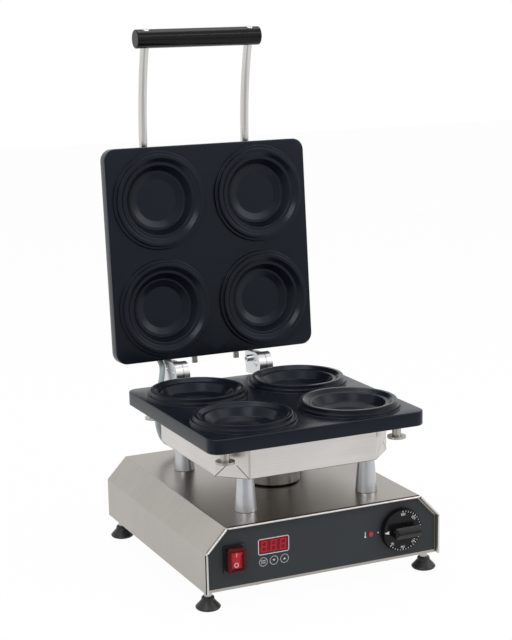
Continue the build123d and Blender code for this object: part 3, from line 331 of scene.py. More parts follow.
def key_marks(x, z):
    """Thin rings of the three keys and the arrows of the second and third."""
    mask = arrow(x, z, down_x, -1).most(arrow(x, z, up_x, 1))
    for middle in (start_x, down_x, up_x):
        mask = mask.most(circle(x, z, middle, key_z, radius=5.45, half_line=0.3))
    return mask


def digits(x, z):
    """Three leaning eights with their points: a box each, with two holes in it."""
    pitch, lean = 13.0, 0.08
    half_x, half_z = 4.2, 7.2
    hole_x, hole_z, hole_rise = 2.5, 2.35, 3.2
    point_x, point_z, point_radius = 5.6, 68.6, 0.9
    v = z - display_z
    mask = None
    for middle in (display_x - pitch, display_x, display_x + pitch):
        u = abs(x - middle - v * lean)
        box = u.below(half_x) * abs(v).below(half_z)
        holes = u.below(hole_x) * abs(abs(v) - hole_rise).below(hole_z)
        one = (box - holes).most(disc(x, z, middle + point_x, point_z, point_radius))
        mask = one if mask is None else mask.most(one)
    return mask


def film_marks(x, z):
    """Outline of the display, thermometer beside the lamp and index dot beside the dial."""
    stem_z, bulb_z = 67.6, 64.2
    mask = rounded_line(x, z, display_x, display_z, half_x=20.9, half_z=9.95, corner=2.2,
                        half_line=0.5)
    mask = mask.most(bar(x, z, thermometer_x, stem_z, half_x=0.55, half_z=3.4))
    mask = mask.most(disc(x, z, thermometer_x, bulb_z, radius=1.3))
    return mask.most(disc(x, z, index_x, index_z, radius=1.05))


def rocker_marks(x, z):
    """Stroke on the upper half and ring on the lower half."""
    upper_z, lower_z = 73.4, 60.4
    stroke = bar(x, z, rocker_x, upper_z, half_x=0.55, half_z=2.6)
    return stroke.most(circle(x, z, rocker_x, lower_z, radius=2.5, half_line=0.55))


def dial_marks(x, z):
    """Scale of 26 lines, 9 degrees apart, every fifth one longer, and the triangle of the zero
    place. The scale runs from 10 steps above the dial's right to 15 below it."""
    step = pi / 20.0
    first, last = 10.5, -15.5
    tip, foot, flare = -27.0, -20.4, 0.34
    u, v = x - knob_x, z - knob_z
    radius = (u * u + v * v).root()
    steps = v.math("ARCTAN2", v, u) * (1.0 / step)

    def lines(count, gap, middle, half_length, half_line):
        """Lines where the count of gaps round the dial is whole."""
        off = abs(count - count.math("ROUND", count)) * gap
        return (off * radius).below(half_line) * abs(radius - middle).below(half_length)

    short = lines(steps, step, middle=25.6, half_length=0.85, half_line=0.27)
    long = lines(steps / 5.0, 5.0 * step, middle=25.2, half_length=1.35, half_line=0.36)
    bare = steps.above(first).most(steps.below(last))
    triangle = abs(v).below((u - tip) * flare) * u.below(foot)
    return (short.most(long) * (1.0 - bare)).most(triangle)


def band(finish, axis, low, high, ink, amount=1.0):
    """Another colour where a coordinate, in millimetres, lies between two levels."""
    value = finish.level(axis)
    finish.paint(value.above(low) * value.below(high) * amount, ink)


def seams(finish):
    """Dark joint lines of the folded tab on the face of each cut corner, which the tray's chart
    measures from its middle: from each lower end of the face up to the tab's top."""
    top, foot, tall, slant = 6.5, 23.6, 17.0, 24.1
    floor_gap, end_gap, half_line = 0.3, 0.4, 0.5
    chart = finish.node("ShaderNodeUVMap", {"uv_map": "charts"})
    across, rise = abs(finish.part(chart, axis_x)), finish.part(chart, axis_y)
    off = abs((across - top) * tall + (rise - tall) * (foot - top)) * (1.0 / slant)
    mask = off.below(half_line) * rise.below(tall) * rise.above(floor_gap)
    finish.paint(mask * across.below(foot - end_gap), (0.05, 0.047, 0.043))


# Metals with a grain, which is how quickly the lines vary on each axis, per metre. Painted light
# is laid on the hood and the duct: painted shade makes the hood's top a little browner and darker
# than its sides, a painted highlight makes its front edge paler, the duct's steel is darker than
# the hood's as painted shade, and a band of painted shadow darkens the duct's foot.

stainless = brushed(
    "stainless", (0.26, 0.241, 0.22), (0.52, 0.49, 0.455), grain=(5.0, 1500.0, 5.0),
    rough=0.3, depth=3e-5,
)
painted_top_shade, painted_edge_highlight, shade = (0.17, 0.135, 0.105), (0.62, 0.595, 0.57), (0.012, 0.011, 0.01)
# Painted shade: a brownish, darker tint on the top face of the hood, which its sides do not get.
band(stainless, axis_z, base_top - 0.3, base_top + 1.0, painted_top_shade, amount=0.18)
# Painted highlight: a paler band along the hood's rounded front edge.
band(stainless, axis_y, front - 1.0, front + 4.0, painted_edge_highlight)
tray_steel = brushed(
    "tray_steel", (0.4, 0.38, 0.36), (0.84, 0.82, 0.795), grain=(5.0, 5.0, 1500.0),
    rough=0.34, depth=2e-5,
)
seams(tray_steel)
# Painted shade: the duct's steel is given a darker tone than the hood's stainless.
duct_steel_painted_shade = brushed(
    "duct_steel_painted_shade", (0.26, 0.25, 0.235), (0.4, 0.385, 0.365), grain=(20.0, 20.0, 600.0),
    rough=0.3, depth=1e-5,
)
# Painted shadow: a near-black band round the duct's foot, where it stands on the hood.
band(duct_steel_painted_shade, axis_z, base_top - 1.0, base_top + 2.4, shade)
brushed(
    "rod_steel", (0.52, 0.51, 0.495), (0.72, 0.705, 0.69), grain=(900.0, 20.0, 20.0),
    rough=0.16, depth=4e-6,
)
turned_metal(
    "turned_aluminium", (0.42, 0.43, 0.45), (0.62, 0.63, 0.65), grain=(4.0, 4.0, 2600.0),
    rough=0.3, depth=4e-6,
)

# Even finishes. Spread is the swing of the roughness, scale the specks per metre, and depth that
# of the relief in metres.

for name, dark, light, rough, spread, scale, depth, metallic, specular in (
    ("fixing_steel", (0.36, 0.335, 0.31), (0.52, 0.49, 0.46), 0.26, 0.12, 700, 1e-5, 1, 0.5),
    ("hinge_aluminium", (0.58, 0.58, 0.59), (0.74, 0.74, 0.75), 0.32, 0.12, 900, 2e-5, 1, 0.5),
    ("zinc_steel", (0.5, 0.54, 0.58), (0.72, 0.76, 0.8), 0.28, 0.14, 700, 1e-5, 1, 0.5),
    ("cast_aluminium", (0.3, 0.3, 0.3), (0.42, 0.42, 0.41), 0.55, 0.2, 500, 1e-4, 1, 0.5),
    ("element_steel", (0.08, 0.07, 0.07), (0.16, 0.14, 0.13), 0.5, 0.2, 600, 3e-5, 1, 0.5),
    ("brass_parts", (0.62, 0.42, 0.14), (0.78, 0.56, 0.22), 0.3, 0.1, 900, 1e-5, 1, 0.5),
    ("ceramic_wool", (0.62, 0.6, 0.54), (0.8, 0.78, 0.72), 0.95, 0.05, 400, 8e-4, 0, 0.5),
    ("grip_plastic", (0.003, 0.003, 0.004), (0.006, 0.006, 0.007), 0.18, 0.02, 500, 3e-7, 0, 0.18),
    ("foot_plastic", (0.007, 0.007, 0.008), (0.013, 0.013, 0.014), 0.4, 0.12, 900, 3e-5, 0, 0.4),
    ("black_plastic", (0.008, 0.008, 0.009), (0.013, 0.013, 0.014), 0.3, 0.1, 1500, 1e-5, 0, 0.4),
    ("lamp_red", (0.35, 0.003, 0.006), (0.5, 0.006, 0.01), 0.16, 0.05, 900, 5e-6, 0, 0.5),
    ("thermostat_case", (0.45, 0.4, 0.28), (0.6, 0.54, 0.4), 0.5, 0.1, 700, 3e-5, 0, 0.5),
    ("circuit_board", (0.01, 0.09, 0.03), (0.02, 0.15, 0.05), 0.35, 0.1, 1200, 3e-5, 0, 0.5),
    ("terminal_plastic", (0.7, 0.69, 0.64), (0.8, 0.79, 0.74), 0.45, 0.1, 900, 2e-5, 0, 0.5),
    ("grommet_rubber", (0.01, 0.01, 0.01), (0.02, 0.02, 0.02), 0.7, 0.1, 900, 4e-5, 0, 0.5),
    ("lead_sleeve", (0.36, 0.45, 0.44), (0.6, 0.68, 0.67), 0.5, 0.1, 1500, 2e-4, 0, 0.5),
    ("print_white", (0.74, 0.76, 0.78), (0.84, 0.86, 0.88), 0.5, 0.06, 1500, 4e-6, 0, 0.5),
):
    satin(name, dark, light, rough, spread, scale, depth, metallic, Specular_IOR_Level=specular)

satin(
    "plate_coating", (0.0034, 0.0046, 0.0082), (0.0072, 0.0094, 0.0156), rough=0.24, spread=0.14,
    scale=1100, depth=6e-5, Specular_IOR_Level=0.2, Specular_Tint=(0.8, 0.9, 1.0, 1.0),
)

# Printed finishes: the ground's two colours, the marks and their ink

film_ground = ((0.024, 0.028, 0.031), (0.031, 0.036, 0.04))
knob_ground = ((0.004, 0.004, 0.005), (0.008, 0.008, 0.009))
rocker_ground = ((0.72, 0.0, 0.008), (0.86, 0.001, 0.014))
window_ground = ((0.13, 0.004, 0.012), (0.17, 0.006, 0.016))
for name, ground, marks, ink, rough, spread, scale, depth, specular in (
    ("fascia_film", film_ground, film_marks, (0.62, 0.64, 0.66), 0.46, 0.1, 2400, 1e-5, 0.25),
    ("key_dark", film_ground, key_marks, (0.56, 0.58, 0.6), 0.46, 0.1, 2400, 1e-5, 0.25),
    ("knob_plastic", knob_ground, dial_marks, (0.86, 0.88, 0.9), 0.22, 0.1, 1500, 1e-5, 0.2),
    ("rocker_red", rocker_ground, rocker_marks, (0.95, 0.95, 0.95), 0.18, 0.05, 900, 5e-6, 0.5),
    ("window_red", window_ground, digits, (0.52, 0.005, 0.014), 0.16, 0.05, 500, 4e-6, 0.2),
):
    printed(name, ground, marks, ink, rough, spread, scale, depth, specular)

# The switch's clear cover: its face lets the rocker show, its walls are denser.

cover_half_x, cover_half_z = 7.6, 11.9
cover_face, cover_walls = 0.12, 0.6
cover = satin(
    "cover_clear", (0.07, 0.0, 0.003), (0.1, 0.0, 0.005), rough=0.14, spread=0.05,
    scale=300, depth=1e-5, Specular_IOR_Level=0.25,
)
beside = abs(cover.level(axis_x) - rocker_x).above(cover_half_x)
over = abs(cover.level(axis_z) - rocker_z).above(cover_half_z)
cover.feed("Alpha", cover_face + cover_walls * beside.most(over))

# Shapes. Millimetres until the mesh is made.


def eased(points, reach, closed=True, steps=5):
    """Each corner of a line becomes a parabola between the points at the reach before and behind
    it, with one more point on each straight side so that the flat stays flat in its shading."""
    arc_limit, guard_limit, guard_reach = 0.44, 0.48, 1.3
    points = np.asarray(points, float)
    reach = np.asarray(reach, float)
    last = np.roll(points, 1, 0) - points
    following = np.roll(points, -1, 0) - points
    ends, guards = [], []
    for way in (last, following):
        length = np.maximum(np.linalg.norm(way, axis=1, keepdims=True), 1e-9)
        way = way / length
        ends.append((points + way * np.minimum(reach, arc_limit * length))[:, None])
        far = np.minimum(guard_reach * reach, guard_limit * length)
        guards.append((points + way * far)[:, None])
    t = np.linspace(0, 1, steps)[None, :, None]
    arcs = (1 - t) ** 2 * ends[0] + 2 * t * (1 - t) * points[:, None] + t ** 2 * ends[1]
    arcs = np.concatenate([guards[0], arcs, guards[1]], 1)
    if closed:
        return arcs.reshape(-1, points.shape[1])
    inner = arcs[1:-1].reshape(-1, points.shape[1])
    return np.vstack([points[:1], inner, points[-1:]])


def ring(grid):
    """Repeats the first column of a grid behind the last one, so that the surface closes."""
    return np.concatenate([grid, grid[:, :1]], axis=1)


def capped(rows):
    """Rows of a closed surface with their first and last outlines closed to their middles."""
    ends = [np.broadcast_to(row.mean(0), row.shape) for row in (rows[0], rows[-1])]
    return ring(np.stack([ends[0], *rows, ends[1]]))


def inward(outline):
    """Mitred step of a closed counter-clockwise outline that moves each edge in by one."""
    ahead = np.roll(outline, -1, 0) - outline
    ahead /= np.linalg.norm(ahead, axis=1, keepdims=True)
    left = np.stack([-ahead[:, 1], ahead[:, 0]], 1)
    both = left + np.roll(left, 1, 0)
    return both / (1 + (left * np.roll(left, 1, 0)).sum(1))[:, None]


def carried(outline, profile):
    """Surface P(u, v): the outline's point u, moved in by the inset of the profile's point v and
    put at its height."""
    flat = outline[None] + profile[:, :1, None] * inward(outline)[None]
    height = np.broadcast_to(profile[:, 1:, None], (len(profile), len(outline), 1))
    return ring(np.concatenate([flat, height], axis=2))


def turned(profile, x=0.0, y=0.0, z=0.0, segments=72):
    """Surface of revolution about an upright axis: radius and height of each profile point."""
    profile = np.asarray(profile, float)
    angle = np.linspace(0, 2 * pi, segments, endpoint=False)
    radius = profile[:, :1]
    height = np.broadcast_to(profile[:, 1:], (len(profile), segments))
    return ring(np.stack([x + radius * np.cos(angle), y + radius * np.sin(angle), z + height], 2))


def forward(grid, x, y, z):
    """Lays a shape built about the upright axis with its height to the front, at a place."""
    return np.stack([x + grid[..., 0], y - grid[..., 2], z + grid[..., 1]], -1)


def swung(x, y, rise):
    """Turns places of the closed lid, their rise taken from the parting, up to the open stop."""
    turn = radians(open_angle)
    y = y - hinge_y
    back_by, up_by = y * cos(turn) + rise * sin(turn), rise * cos(turn) - y * sin(turn)
    return np.stack([x, hinge_y + back_by, parting + up_by], -1)


def opened(points):
    """Mirrors a shape of the lower half to the closed lid and turns it up to the open stop."""
    points = np.asarray(points, float)
    return swung(points[..., 0], points[..., 1], parting - points[..., 2])


def mended(mesh, repair, **options):
    """Merges a mesh's doubles, repairs it by one more operator and turns its faces outward."""
    work = bmesh.new()
    work.from_mesh(mesh)
    bmesh.ops.remove_doubles(work, verts=work.verts[:], dist=1e-6)
    repair(work, edges=work.edges[:], **options)
    bmesh.ops.recalc_face_normals(work, faces=work.faces[:])
    work.to_mesh(mesh)
    work.free()


def placed(name, mesh, body, finish):
    """Puts a mesh into the scene as a piece of the object."""
    made = bpy.data.objects.new(name, mesh)
    bpy.context.scene.collection.objects.link(made)
    mesh.materials.append(materials[finish])
    if body:
        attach(made, body)
    return made


def piece(name, body, finish, grids, hides, smooth, chart=None):
    """Makes one piece from grids of points, closed, and smooth up to an angle in degrees. It
    stands for the CAD nodes that it hides. A chart has two numbers for each point, for a
    finish that follows the surface."""
    points, faces, start = [], [], 0
    for grid in grids:
        rows, columns = grid.shape[:2]
        index = np.arange(rows * columns).reshape(rows, columns) + start
        corners = (index[:-1, :-1], index[:-1, 1:], index[1:, 1:], index[1:, :-1])
        faces.append(np.stack(corners, -1).reshape(-1, 4))
        points.append(grid.reshape(-1, 3) / millimetres)
        start += rows * columns
    mesh = bpy.data.meshes.new(name)
    mesh.from_pydata(np.vstack(points).tolist(), [], np.vstack(faces).tolist())
    if chart is not None:
        layer = mesh.uv_layers.new(name="charts")
        loops = np.empty(len(mesh.loops), dtype=np.int32)
        mesh.loops.foreach_get("vertex_index", loops)
        values = chart.reshape(-1, 2)[loops]
        layer.data.foreach_set("uv", values.astype(np.float32).ravel())
    mended(mesh, bmesh.ops.holes_fill)
    mesh.shade_smooth()
    mesh.set_sharp_from_angle(angle=radians(smooth))
    made = placed(name, mesh, body, finish)
    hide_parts(*hides)
    return made


# Baking plates

mould_profile = [
    (0.0, -9.5), (29.0, -9.5),  # floor of the well
    (38.6, -6.0), (41.2, -6.0),  # lower step
    (48.8, 4.8), (53.0, 4.8),  # upper step
    (58.8, 9.5), (63.4, 9.5),  # rim
    (64.0, 4.3), (67.8, 4.3),  # ledge outside the rim
    (68.4, 0.0), (70.0, 0.0),  # face of the plate
]


def cell_edge():
    """Edge of a quarter of the plate's face, counter-clockwise from its middle corner, and its
    outer part."""
    far_x, far_y = plate_half_x - plate_edge, plate_half_y - plate_edge
    corner = plate_corner - plate_edge
    straight, round_steps = 20, 8
    t = np.linspace(0, 1, straight, endpoint=False)
    turn = np.linspace(0, pi / 2, round_steps, endpoint=False)
    lower = np.column_stack([far_x * t, 0 * t])
    right = np.column_stack([far_x + 0 * t, (far_y - corner) * t])
    bend = corner * np.column_stack([np.cos(turn), np.sin(turn)])
    bend += (far_x - corner, far_y - corner)
    upper = np.column_stack([(far_x - corner) * (1 - t), far_y + 0 * t])
    side = np.column_stack([0 * t, far_y * (1 - t)])
    outer = np.vstack([right, bend, upper, [(0.0, far_y)]])
    return np.vstack([lower, right, bend, upper, side]), outer


def plate_grids():
    """Face of the plate as four quarters, each running from its mould's middle out to the
    quarter's edge through the radius and height of the mould's profile; then the rounded rim,
    the side and the bottom."""
    profile = eased(mould_profile, reach=0.8, closed=False)
    edge, outer = cell_edge()
    middle = np.array([mould_x, mould_y])
    angle = np.arctan2(edge[:, 1] - mould_y, edge[:, 0] - mould_x)
    around = np.stack([np.cos(angle), np.sin(angle)], -1)
    flat = middle + profile[:, :1, None] * around[None]
    high = np.broadcast_to(profile[:, 1:, None], (len(profile), len(edge), 1))
    rows = np.concatenate([flat, high], 2)
    rows = np.concatenate([rows, np.column_stack([edge, 0 * edge[:, 0]])[None]])
    quarter = ring(rows)
    grids = [quarter * (a, b, 1) for a in (-1, 1) for b in (-1, 1)]
    loop = np.vstack([
        outer, (outer * (-1, 1))[::-1][1:], (outer * (-1, -1))[1:], (outer * (1, -1))[::-1][1:-1],
    ])
    core = np.array([plate_half_x - plate_corner, plate_half_y - plate_corner])
    reach = np.maximum(np.abs(loop) - core, 0)
    normal = reach / np.linalg.norm(reach, axis=1, keepdims=True) * np.sign(loop)
    thick = plate_high - plate_low
    turn = np.linspace(0, pi / 2, 6)
    over = np.column_stack([plate_edge * np.sin(turn), plate_edge * np.cos(turn) - plate_edge])
    under = np.column_stack([over[::-1, 0], -thick - over[::-1, 1]])
    rim = [
        np.column_stack([loop + step * normal, np.full(len(loop), height)])
        for step, height in [*over, *under]
    ]
    rim.append(np.column_stack([loop * 0, np.full(len(loop), -thick)]))
    grids.append(ring(np.stack(rim)))
    return [grid + (0, plate_y, plate_high) for grid in grids]


# Trays


def tray_grids():
    """Octagon outline carried along the wall: middle of the floor inside, inner wall, rim, outer
    wall with its bend, middle of the floor outside. The chart says how far a point lies along its
    wall from the middle of the cut corner, and how high."""
    x, y, cut = tray_half_x, tray_half_y, tray_cut
    corners = [
        (-x + cut, -y), (x - cut, -y), (x, -y + cut), (x, y - cut),
        (x - cut, y), (-x + cut, y), (-x, y - cut), (-x, -y + cut),
    ]
    outline = eased(corners, reach=1.9, steps=6) + (0, plate_y)
    floor = tray_bottom + sheet
    wall = [
        (sheet, floor), (sheet, tray_rim), (0.0, tray_rim), (0.0, tray_bottom), (4.0, tray_bottom),
    ]
    bends = [[0.0], [0.2], [0.2], [2.0], [0.0]]
    rows = carried(outline, eased(wall, bends, closed=False))
    middle = np.broadcast_to((0.0, plate_y, 0.0), rows.shape[1:])
    inside, outside = middle + (0, 0, floor), middle + (0, 0, tray_bottom)
    grid = np.concatenate([inside[None], rows, outside[None]])
    flat = np.abs(grid[..., :2] - (0, plate_y))
    along = (flat[..., 0] - flat[..., 1] - (x - y)) * sqrt(0.5)
    return grid, np.stack([along, grid[..., 2] - tray_bottom], -1)


# Housing


def hood_section():
    """X-Z line of the folded cover, from the left side's foot over the top to the right side's."""
    shoulder, top = half_width - shoulder_width, base_top - shoulder_drop
    return np.array([
        (-half_width, base_low), (-half_width, top), (-shoulder, base_top),
        (shoulder, base_top), (half_width, top), (half_width, base_low),
    ])


def offset_line(line, amount):
    """The open line moved to its right-hand side by an amount, with mitred corners."""
    ahead = np.diff(line, axis=0)
    ahead /= np.linalg.norm(ahead, axis=1, keepdims=True)
    right = np.stack([ahead[:, 1], -ahead[:, 0]], 1)
    first, last = np.vstack([right[:1], right]), np.vstack([right, right[-1:]])
    return line + amount * (first + last) / (1 + (first * last).sum(1))[:, None]


def at_depth(line, y):
    """A line of the x-z plane as points in space, all at one depth or each at its own."""
    return np.column_stack([line[:, 0], np.broadcast_to(y, len(line)), line[:, 1]])


def hood_grids():
    """Sheet along the housing's section from front to back, and a half-round hem on each front
    edge that leaves the bends open."""
    line = hood_section()
    edges = front + 1.0, back
    outer = eased(line, reach=1.6, closed=False)
    inner = eased(offset_line(line, sheet), reach=1.0, closed=False)
    loop = np.vstack([outer, inner[::-1]])
    grids = [ring(np.stack([at_depth(loop, y) for y in edges]))]
    grids += [np.stack([at_depth(outer, y), at_depth(inner, y)]) for y in edges]
    half = hem / 2
    turn = np.linspace(0, pi, 9)
    round_edge = np.column_stack([half - half * np.cos(turn), half - half * np.sin(turn)])
    profile = np.vstack([[(0.0, hem_depth)], round_edge, [(hem, hem_depth)]])
    mitre = offset_line(line, 1.0) - line
    for index in range(len(line) - 1):
        way = line[index + 1] - line[index]
        way /= np.linalg.norm(way)
        ends = []
        for corner, sign, outermost in ((index, 1, 0), (index + 1, -1, len(line) - 1)):
            gap = 0.0 if corner == outermost else half
            flat = line[corner] + profile[:, :1] * mitre[corner] + sign * gap * way
            ends.append(at_depth(flat, front + profile[:, 1]))
        grids.append(capped(ends))
    return grids


# Turned parts, handle and dial

foot_profile = eased(
    [
        (0.0, 0.0), (11.2, 0.0),  # sole
        (14.6, 1.4), (16.15, 3.8), (15.4, 5.0),  # rounded rim
        (10.0, 11.0), (8.6, 12.5),  # cone
        (8.0, 16.2), (7.2, 17.0), (0.0, 17.0),  # neck
    ], reach=0.9, closed=False,
)
column_profile = [
    (0.0, 0.0), (14.1, 0.0), (14.5, 0.4),  # chamfered foot
    (10.65, 45.6), (10.25, 46.0), (0.0, 46.0),  # chamfered top
]


def handle_grid():
    """Round handle bar: radius and place along the bar, turned about its own X axis."""
    radius, half = 13.0, 93.0
    ends = [(0.0, -half), (radius, -half), (radius, half), (0.0, half)]
    grid = turned(eased(ends, reach=1.4, closed=False), segments=96)
    y, z = opened((0.0, handle_y, handle_z))[1:]
    return np.stack([grid[..., 2], y + grid[..., 0], z + grid[..., 1]], -1)


def dial_grids():
    """Flat skirt with a rounded front edge, and a gable-shaped grip through rounded rectangles."""
    skirt = [(0.0, 0.0), (28.5, 0.0), (28.5, 2.0), (27.5, knob_depth), (0.0, knob_depth)]
    grids = [turned(eased(skirt, reach=0.7, closed=False), segments=128)]
    rows = []
    for left, right, half, rise, reach in (
        (-15.7, 16.6, 5.5, 7.5, 1.2), (-15.7, 16.6, 5.5, 8.0, 1.2),  # foot in the skirt
        (-16.5, 20.5, 7.6, 17.5, 1.4), (-16.1, 20.5, 6.4, 18.4, 1.4),  # widest, over the scale
        (-12.9, 20.1, 1.5, 21.6, 0.9), (-12.5, 19.8, 0.8, 22.0, 0.5),  # ridge
    ):
        outline = eased([(left, -half), (right, -half), (right, half), (left, half)], reach)
        rows.append(np.column_stack([outline, np.full(len(outline), rise)]))
    grids.append(capped(rows))
    return [forward(grid, knob_x, knob_base, knob_z) for grid in grids]


def from_curve(curve):
    """Points and faces of a curve or a text. The curve itself is removed."""
    holder = bpy.data.objects.new(curve.name, curve)
    mesh = bpy.data.meshes.new_from_object(holder)
    points = np.empty(len(mesh.vertices) * 3)
    mesh.vertices.foreach_get("co", points)
    faces = [tuple(polygon.vertices) for polygon in mesh.polygons]
    bpy.data.meshes.remove(mesh)
    bpy.data.objects.remove(holder)
    bpy.data.curves.remove(curve)
    return points.reshape(-1, 3), faces


def lead_line():
    """Smooth spline that has the corners of the lead's route as its control points: up from the
    housing's grommet, in a bow behind the left hinge and into the lid's grommet."""
    turn = radians(open_angle)
    lid_front = np.array([0.0, -cos(turn), sin(turn)])
    lid_end = swung(-81.4, front + 282.1, 272.1 - parting)
    before, beyond = 8, 6
    route = np.array([
        (-58.0, 344.0, 103.0), (-58.0, 344.0, 122.0),  # up out of the housing
        (-88.0, 338.0, 125.5), (-91.8, 353.4, 173.3),  # out to the left and up the bow
        (-79.2, 344.0, 231.0), (-79.2, 364.0, 243.5),  # behind the hinge to the lid's back
    ]) + (0, front, 0)
    route = np.vstack([route, lid_end - before * lid_front, lid_end + beyond * lid_front])
    curve = bpy.data.curves.new("lead", "CURVE")
    curve.dimensions = "3D"
    spline = curve.splines.new("NURBS")
    spline.points.add(len(route) - 1)
    spline.points.foreach_set("co", np.column_stack([route, np.ones(len(route))]).ravel())
    spline.order_u = 3
    spline.use_endpoint_u = True
    spline.resolution_u = 14
    return from_curve(curve)[0]


def lead_grid():
    """Tube: at each point of the lead's line a circle across its direction, and both ends closed
    to their middles."""
    radius = 4.0
    points = lead_line()
    way = np.gradient(points, axis=0)
    way /= np.linalg.norm(way, axis=1, keepdims=True)
    side = np.cross(way, (0.0, 1.0, 0.0))
    side /= np.linalg.norm(side, axis=1, keepdims=True)
    other = np.cross(way, side)
    angle = np.linspace(0, 2 * pi, 32, endpoint=False)[None, :, None]
    rows = np.cos(angle) * side[:, None] + np.sin(angle) * other[:, None]
    rows = points[:, None] + radius * rows
    ends = [np.broadcast_to(points[place], rows[place].shape)[None] for place in (0, -1)]
    return ring(np.concatenate([ends[0], rows, ends[1]]))


def lettering(name, body, items, level):
    """Thin characters on an upright face: text, size, middle x and z and turn of each item."""
    points, faces, start = [], [], 0
    for words, size, x, z, turn in items:
        curve = bpy.data.curves.new(name, "FONT")
        curve.body = words
        curve.size = size
        curve.align_x = "CENTER"
        curve.align_y = "CENTER"
        curve.extrude = 0.04
        curve.resolution_u = 3
        flat, polygons = from_curve(curve)
        u, v, w = flat.T
        right = x + u * cos(turn) - v * sin(turn)
        up = z + u * sin(turn) + v * cos(turn)
        points.append(np.column_stack([right, level - w, up]) / millimetres)
        faces += [[start + index for index in polygon] for polygon in polygons]
        start += len(flat)
    mesh = bpy.data.meshes.new(name)
    mesh.from_pydata(np.vstack(points).tolist(), [], faces)
    mended(mesh, bmesh.ops.dissolve_degenerate, dist=1e-6)
    placed(name, mesh, body, "print_white")


def scale_numbers():
    """Numbers of the dial, 45 degrees apart, each with its top outward."""
    size, reach = 4.6, 21.6
    first_angle, apart = 225, 45
    items = []
    for index, number in enumerate(range(50, 301, 50)):
        angle = radians(first_angle + apart * index)
        x, z = knob_x + reach * cos(angle), knob_z + reach * sin(angle)
        items.append((str(number), size, x, z, angle - pi / 2))
    return items


def build():
    """Makes every piece that stands for CAD nodes."""
    for name, (x, y) in foot_places.items():
        piece(name + "_bell", "base", "foot_plastic",
              [turned(foot_profile, x, y)], ["foot_" + name], smooth=40)
    for name, (x, y) in column_places.items():
        piece(name + "_column", "base", "turned_aluminium",
              [turned(column_profile, x, y, base_top, segments=96)], ["column_" + name],
              smooth=30)
    piece("handle_bar", "lid", "grip_plastic",
          [handle_grid()], ["handle_grip"], smooth=40)
    piece("dial_with_grip", "thermostat_dial", "knob_plastic",
          dial_grids(), ["thermostat_knob"], smooth=34)
    lettering("dial_numbers", "thermostat_dial", scale_numbers(),
              knob_base - knob_depth - print_lift)
    size, upper, lower = 2.7, 56.9, 54.0
    label = [("START", size, start_x, upper, 0.0), ("STOP", size, start_x, lower, 0.0)]
    lettering("start_label", "start_key", label, film_y - key_rise - print_lift)
    lead = piece("lead_tube", None, "lead_sleeve",
                 [lead_grid()], ["lid_lead"], smooth=60)
    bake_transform(lead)
    plate = plate_grids()
    lid_plate = [opened(grid) for grid in plate]
    piece("plate_with_moulds", "base", "plate_coating",
          plate, ["lower_baking_plate"], smooth=40)
    piece("lid_plate_with_moulds", "lid", "plate_coating",
          lid_plate, ["upper_baking_plate"], smooth=40)
    tray, chart = tray_grids()
    piece("tray_shell", "base", "tray_steel",
          [tray], ["lower_tray"], smooth=30, chart=chart)
    piece("lid_tray_shell", "lid", "tray_steel",
          [opened(tray)], ["lid_tray"], smooth=30, chart=chart)
    piece("hood_sheet", "base", "stainless",
          hood_grids(), ["base_hood"], smooth=30)


build()

# CAD nodes that stay: each takes its slot's finish, or its own one

own_finish = {
    "lower_plate_fixings": "fixing_steel", "upper_plate_fixings": "fixing_steel",
    "foot_studs": "fixing_steel", "cable_duct": "duct_steel_painted_shade",
}

for subpart in frame["record"]["subparts"]:
    finish = own_finish.get(subpart["node"], subpart["material_slot"])
    for slot in frame["nodes"][subpart["node"]].material_slots:
        slot.material = materials[finish]

# Floor, background, light and camera. Metres from here on.

white = (1.0, 1.0, 1.0, 1.0)
view_turn, view_rise, view_roll = radians(-24.98), radians(11.65), radians(-1.05)


def backdrop():
    """White floor that keeps a trace of the object's shadow."""
    half, white_share = 6, 0.97
    mesh = bpy.data.meshes.new("floor")
    corners = [(-half, -half, 0), (half, -half, 0), (half, half, 0), (-half, half, 0)]
    mesh.from_pydata(corners, [], [(0, 1, 2, 3)])
    ground = bpy.data.objects.new("floor", mesh)
    bpy.context.scene.collection.objects.link(ground)
    finish = Finish("floor_white", Base_Color=(0.9, 0.9, 0.9, 1.0), Roughness=0.9,
                    Specular_IOR_Level=0.0)
    glow = finish.node("ShaderNodeEmission", {}, {"Color": white, "Strength": 1.0})
    lit = Link(finish, finish.shader.outputs[0])
    mixed = {0: finish.seen() * white_share, 1: lit, 2: glow}
    finish.show(finish.node("ShaderNodeMixShader", {}, mixed), finish.output)
    mesh.materials.append(finish.material)


def studio():
    """World that is white where it is seen, and lights the object softly."""
    world = bpy.data.worlds.new("studio")
    world.use_nodes = True
    bpy.context.scene.world = world
    nodes = Nodes(world.node_tree)
    nodes.tree.nodes.clear()
    soft = nodes.node("ShaderNodeBackground", {}, {"Color": white, "Strength": 0.5})
    full = nodes.node("ShaderNodeBackground", {}, {"Color": white, "Strength": 1.0})
    mixed = nodes.node("ShaderNodeMixShader", {}, {0: nodes.seen(), 1: soft, 2: full})
    nodes.show(mixed, nodes.tree.nodes.new("ShaderNodeOutputWorld"))


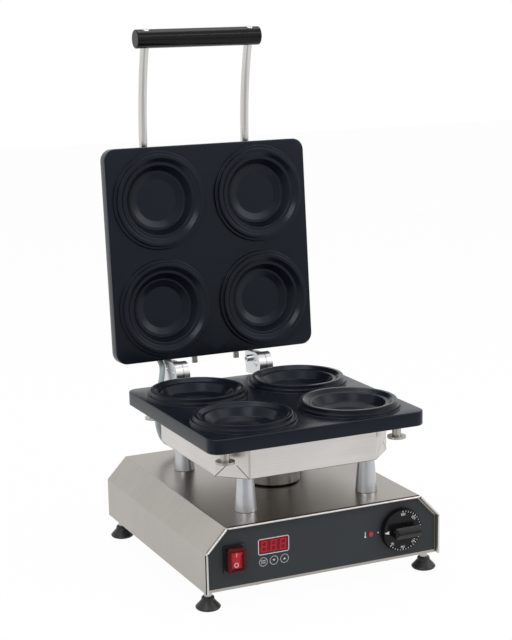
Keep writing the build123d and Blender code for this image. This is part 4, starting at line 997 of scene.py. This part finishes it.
def card():
    """Grey card from the table up behind the camera, seen by reflections alone, so that round
    metal gets a darker middle. Each pair of corners has its distance, its height and how far it
    goes to the left and right, as a share of the distance."""
    ahead = Vector((sin(view_turn), -cos(view_turn), 0))
    across = Vector((cos(view_turn), sin(view_turn), 0))
    corners = []
    for reach, height, left, right in (
        (0.42, 0.002, 0.5, 0.5), (2.7, 0.002, 0.5, 0.5), (2.7, 1.7, 0.5, 0.5),
        (1.0, 0.002, -0.5, 2.0), (2.7, 0.002, -0.5, 2.6), (2.7, 0.27, -0.5, 2.6),
    ):
        for end in (-left, right):
            corners.append((ahead * reach + across * reach * end)[:2] + (height,))
    mesh = bpy.data.meshes.new("card")
    mesh.from_pydata(corners, [], [(0, 1, 3, 2), (2, 3, 5, 4), (6, 7, 9, 8), (8, 9, 11, 10)])
    made = bpy.data.objects.new("card", mesh)
    bpy.context.scene.collection.objects.link(made)
    for kind in ("camera", "diffuse", "shadow", "transmission"):
        setattr(made, "visible_" + kind, False)
    finish = Finish("card_grey")
    glow = finish.node("ShaderNodeEmission", {}, {"Color": white, "Strength": 0.62})
    finish.show(glow, finish.output)
    mesh.materials.append(finish.material)


def lamp(name, place, aim, size, power):
    """A softbox that looks at a point."""
    data = bpy.data.lights.new(name, "AREA")
    data.shape = "RECTANGLE"
    data.size, data.size_y = size
    data.energy = power
    made = bpy.data.objects.new(name, data)
    made.location = place
    made.rotation_euler = (Vector(aim) - Vector(place)).to_track_quat("-Z", "Y").to_euler()
    bpy.context.scene.collection.objects.link(made)


def camera():
    """The photograph's view: a long lens a little above the table, to the left of the front. The
    focal length and the shift are in pixels of the picture's height."""
    target, reach = Vector((-0.07126, -0.18833, 0.35346)), 1.95468
    focal, shift_x, shift_y = 1608.95, -10.78, 4.72
    picture, sensor = 640, 36.0
    low = cos(view_rise)
    behind = Vector((sin(view_turn) * low, -cos(view_turn) * low, sin(view_rise)))
    level = Vector((cos(view_turn), sin(view_turn), 0))
    upright = behind.cross(level)
    right = level * cos(view_roll) + upright * sin(view_roll)
    up = upright * cos(view_roll) - level * sin(view_roll)
    data = bpy.data.cameras.new("camera")
    data.sensor_width = sensor
    data.lens = focal / picture * sensor
    data.shift_x = shift_x / picture
    data.shift_y = shift_y / picture
    data.clip_start = 0.05
    data.clip_end = 60.0
    made = bpy.data.objects.new("camera", data)
    axes = Matrix((right, up, behind)).transposed()
    made.matrix_world = Matrix.Translation(target + behind * reach) @ axes.to_4x4()
    bpy.context.scene.collection.objects.link(made)
    bpy.context.scene.camera = made


backdrop()
studio()
card()
lamp("key", place=(-1.6, -1.7, 2.3), aim=(0, 0, 0.25), size=(1.3, 1.3), power=26.0)
lamp("fill", place=(1.9, -1.5, 1.5), aim=(0, 0, 0.3), size=(1.2, 1.2), power=13.0)
lamp("top", place=(0.1, 0.5, 2.4), aim=(0, 0, 0.2), size=(1.6, 1.0), power=15.0)
lamp("strip", place=(1.05, -1.75, 2.1), aim=(0, 0.1, 0.6), size=(1.5, 0.14), power=5.0)
camera()
bpy.context.scene.view_settings.view_transform = "Standard"
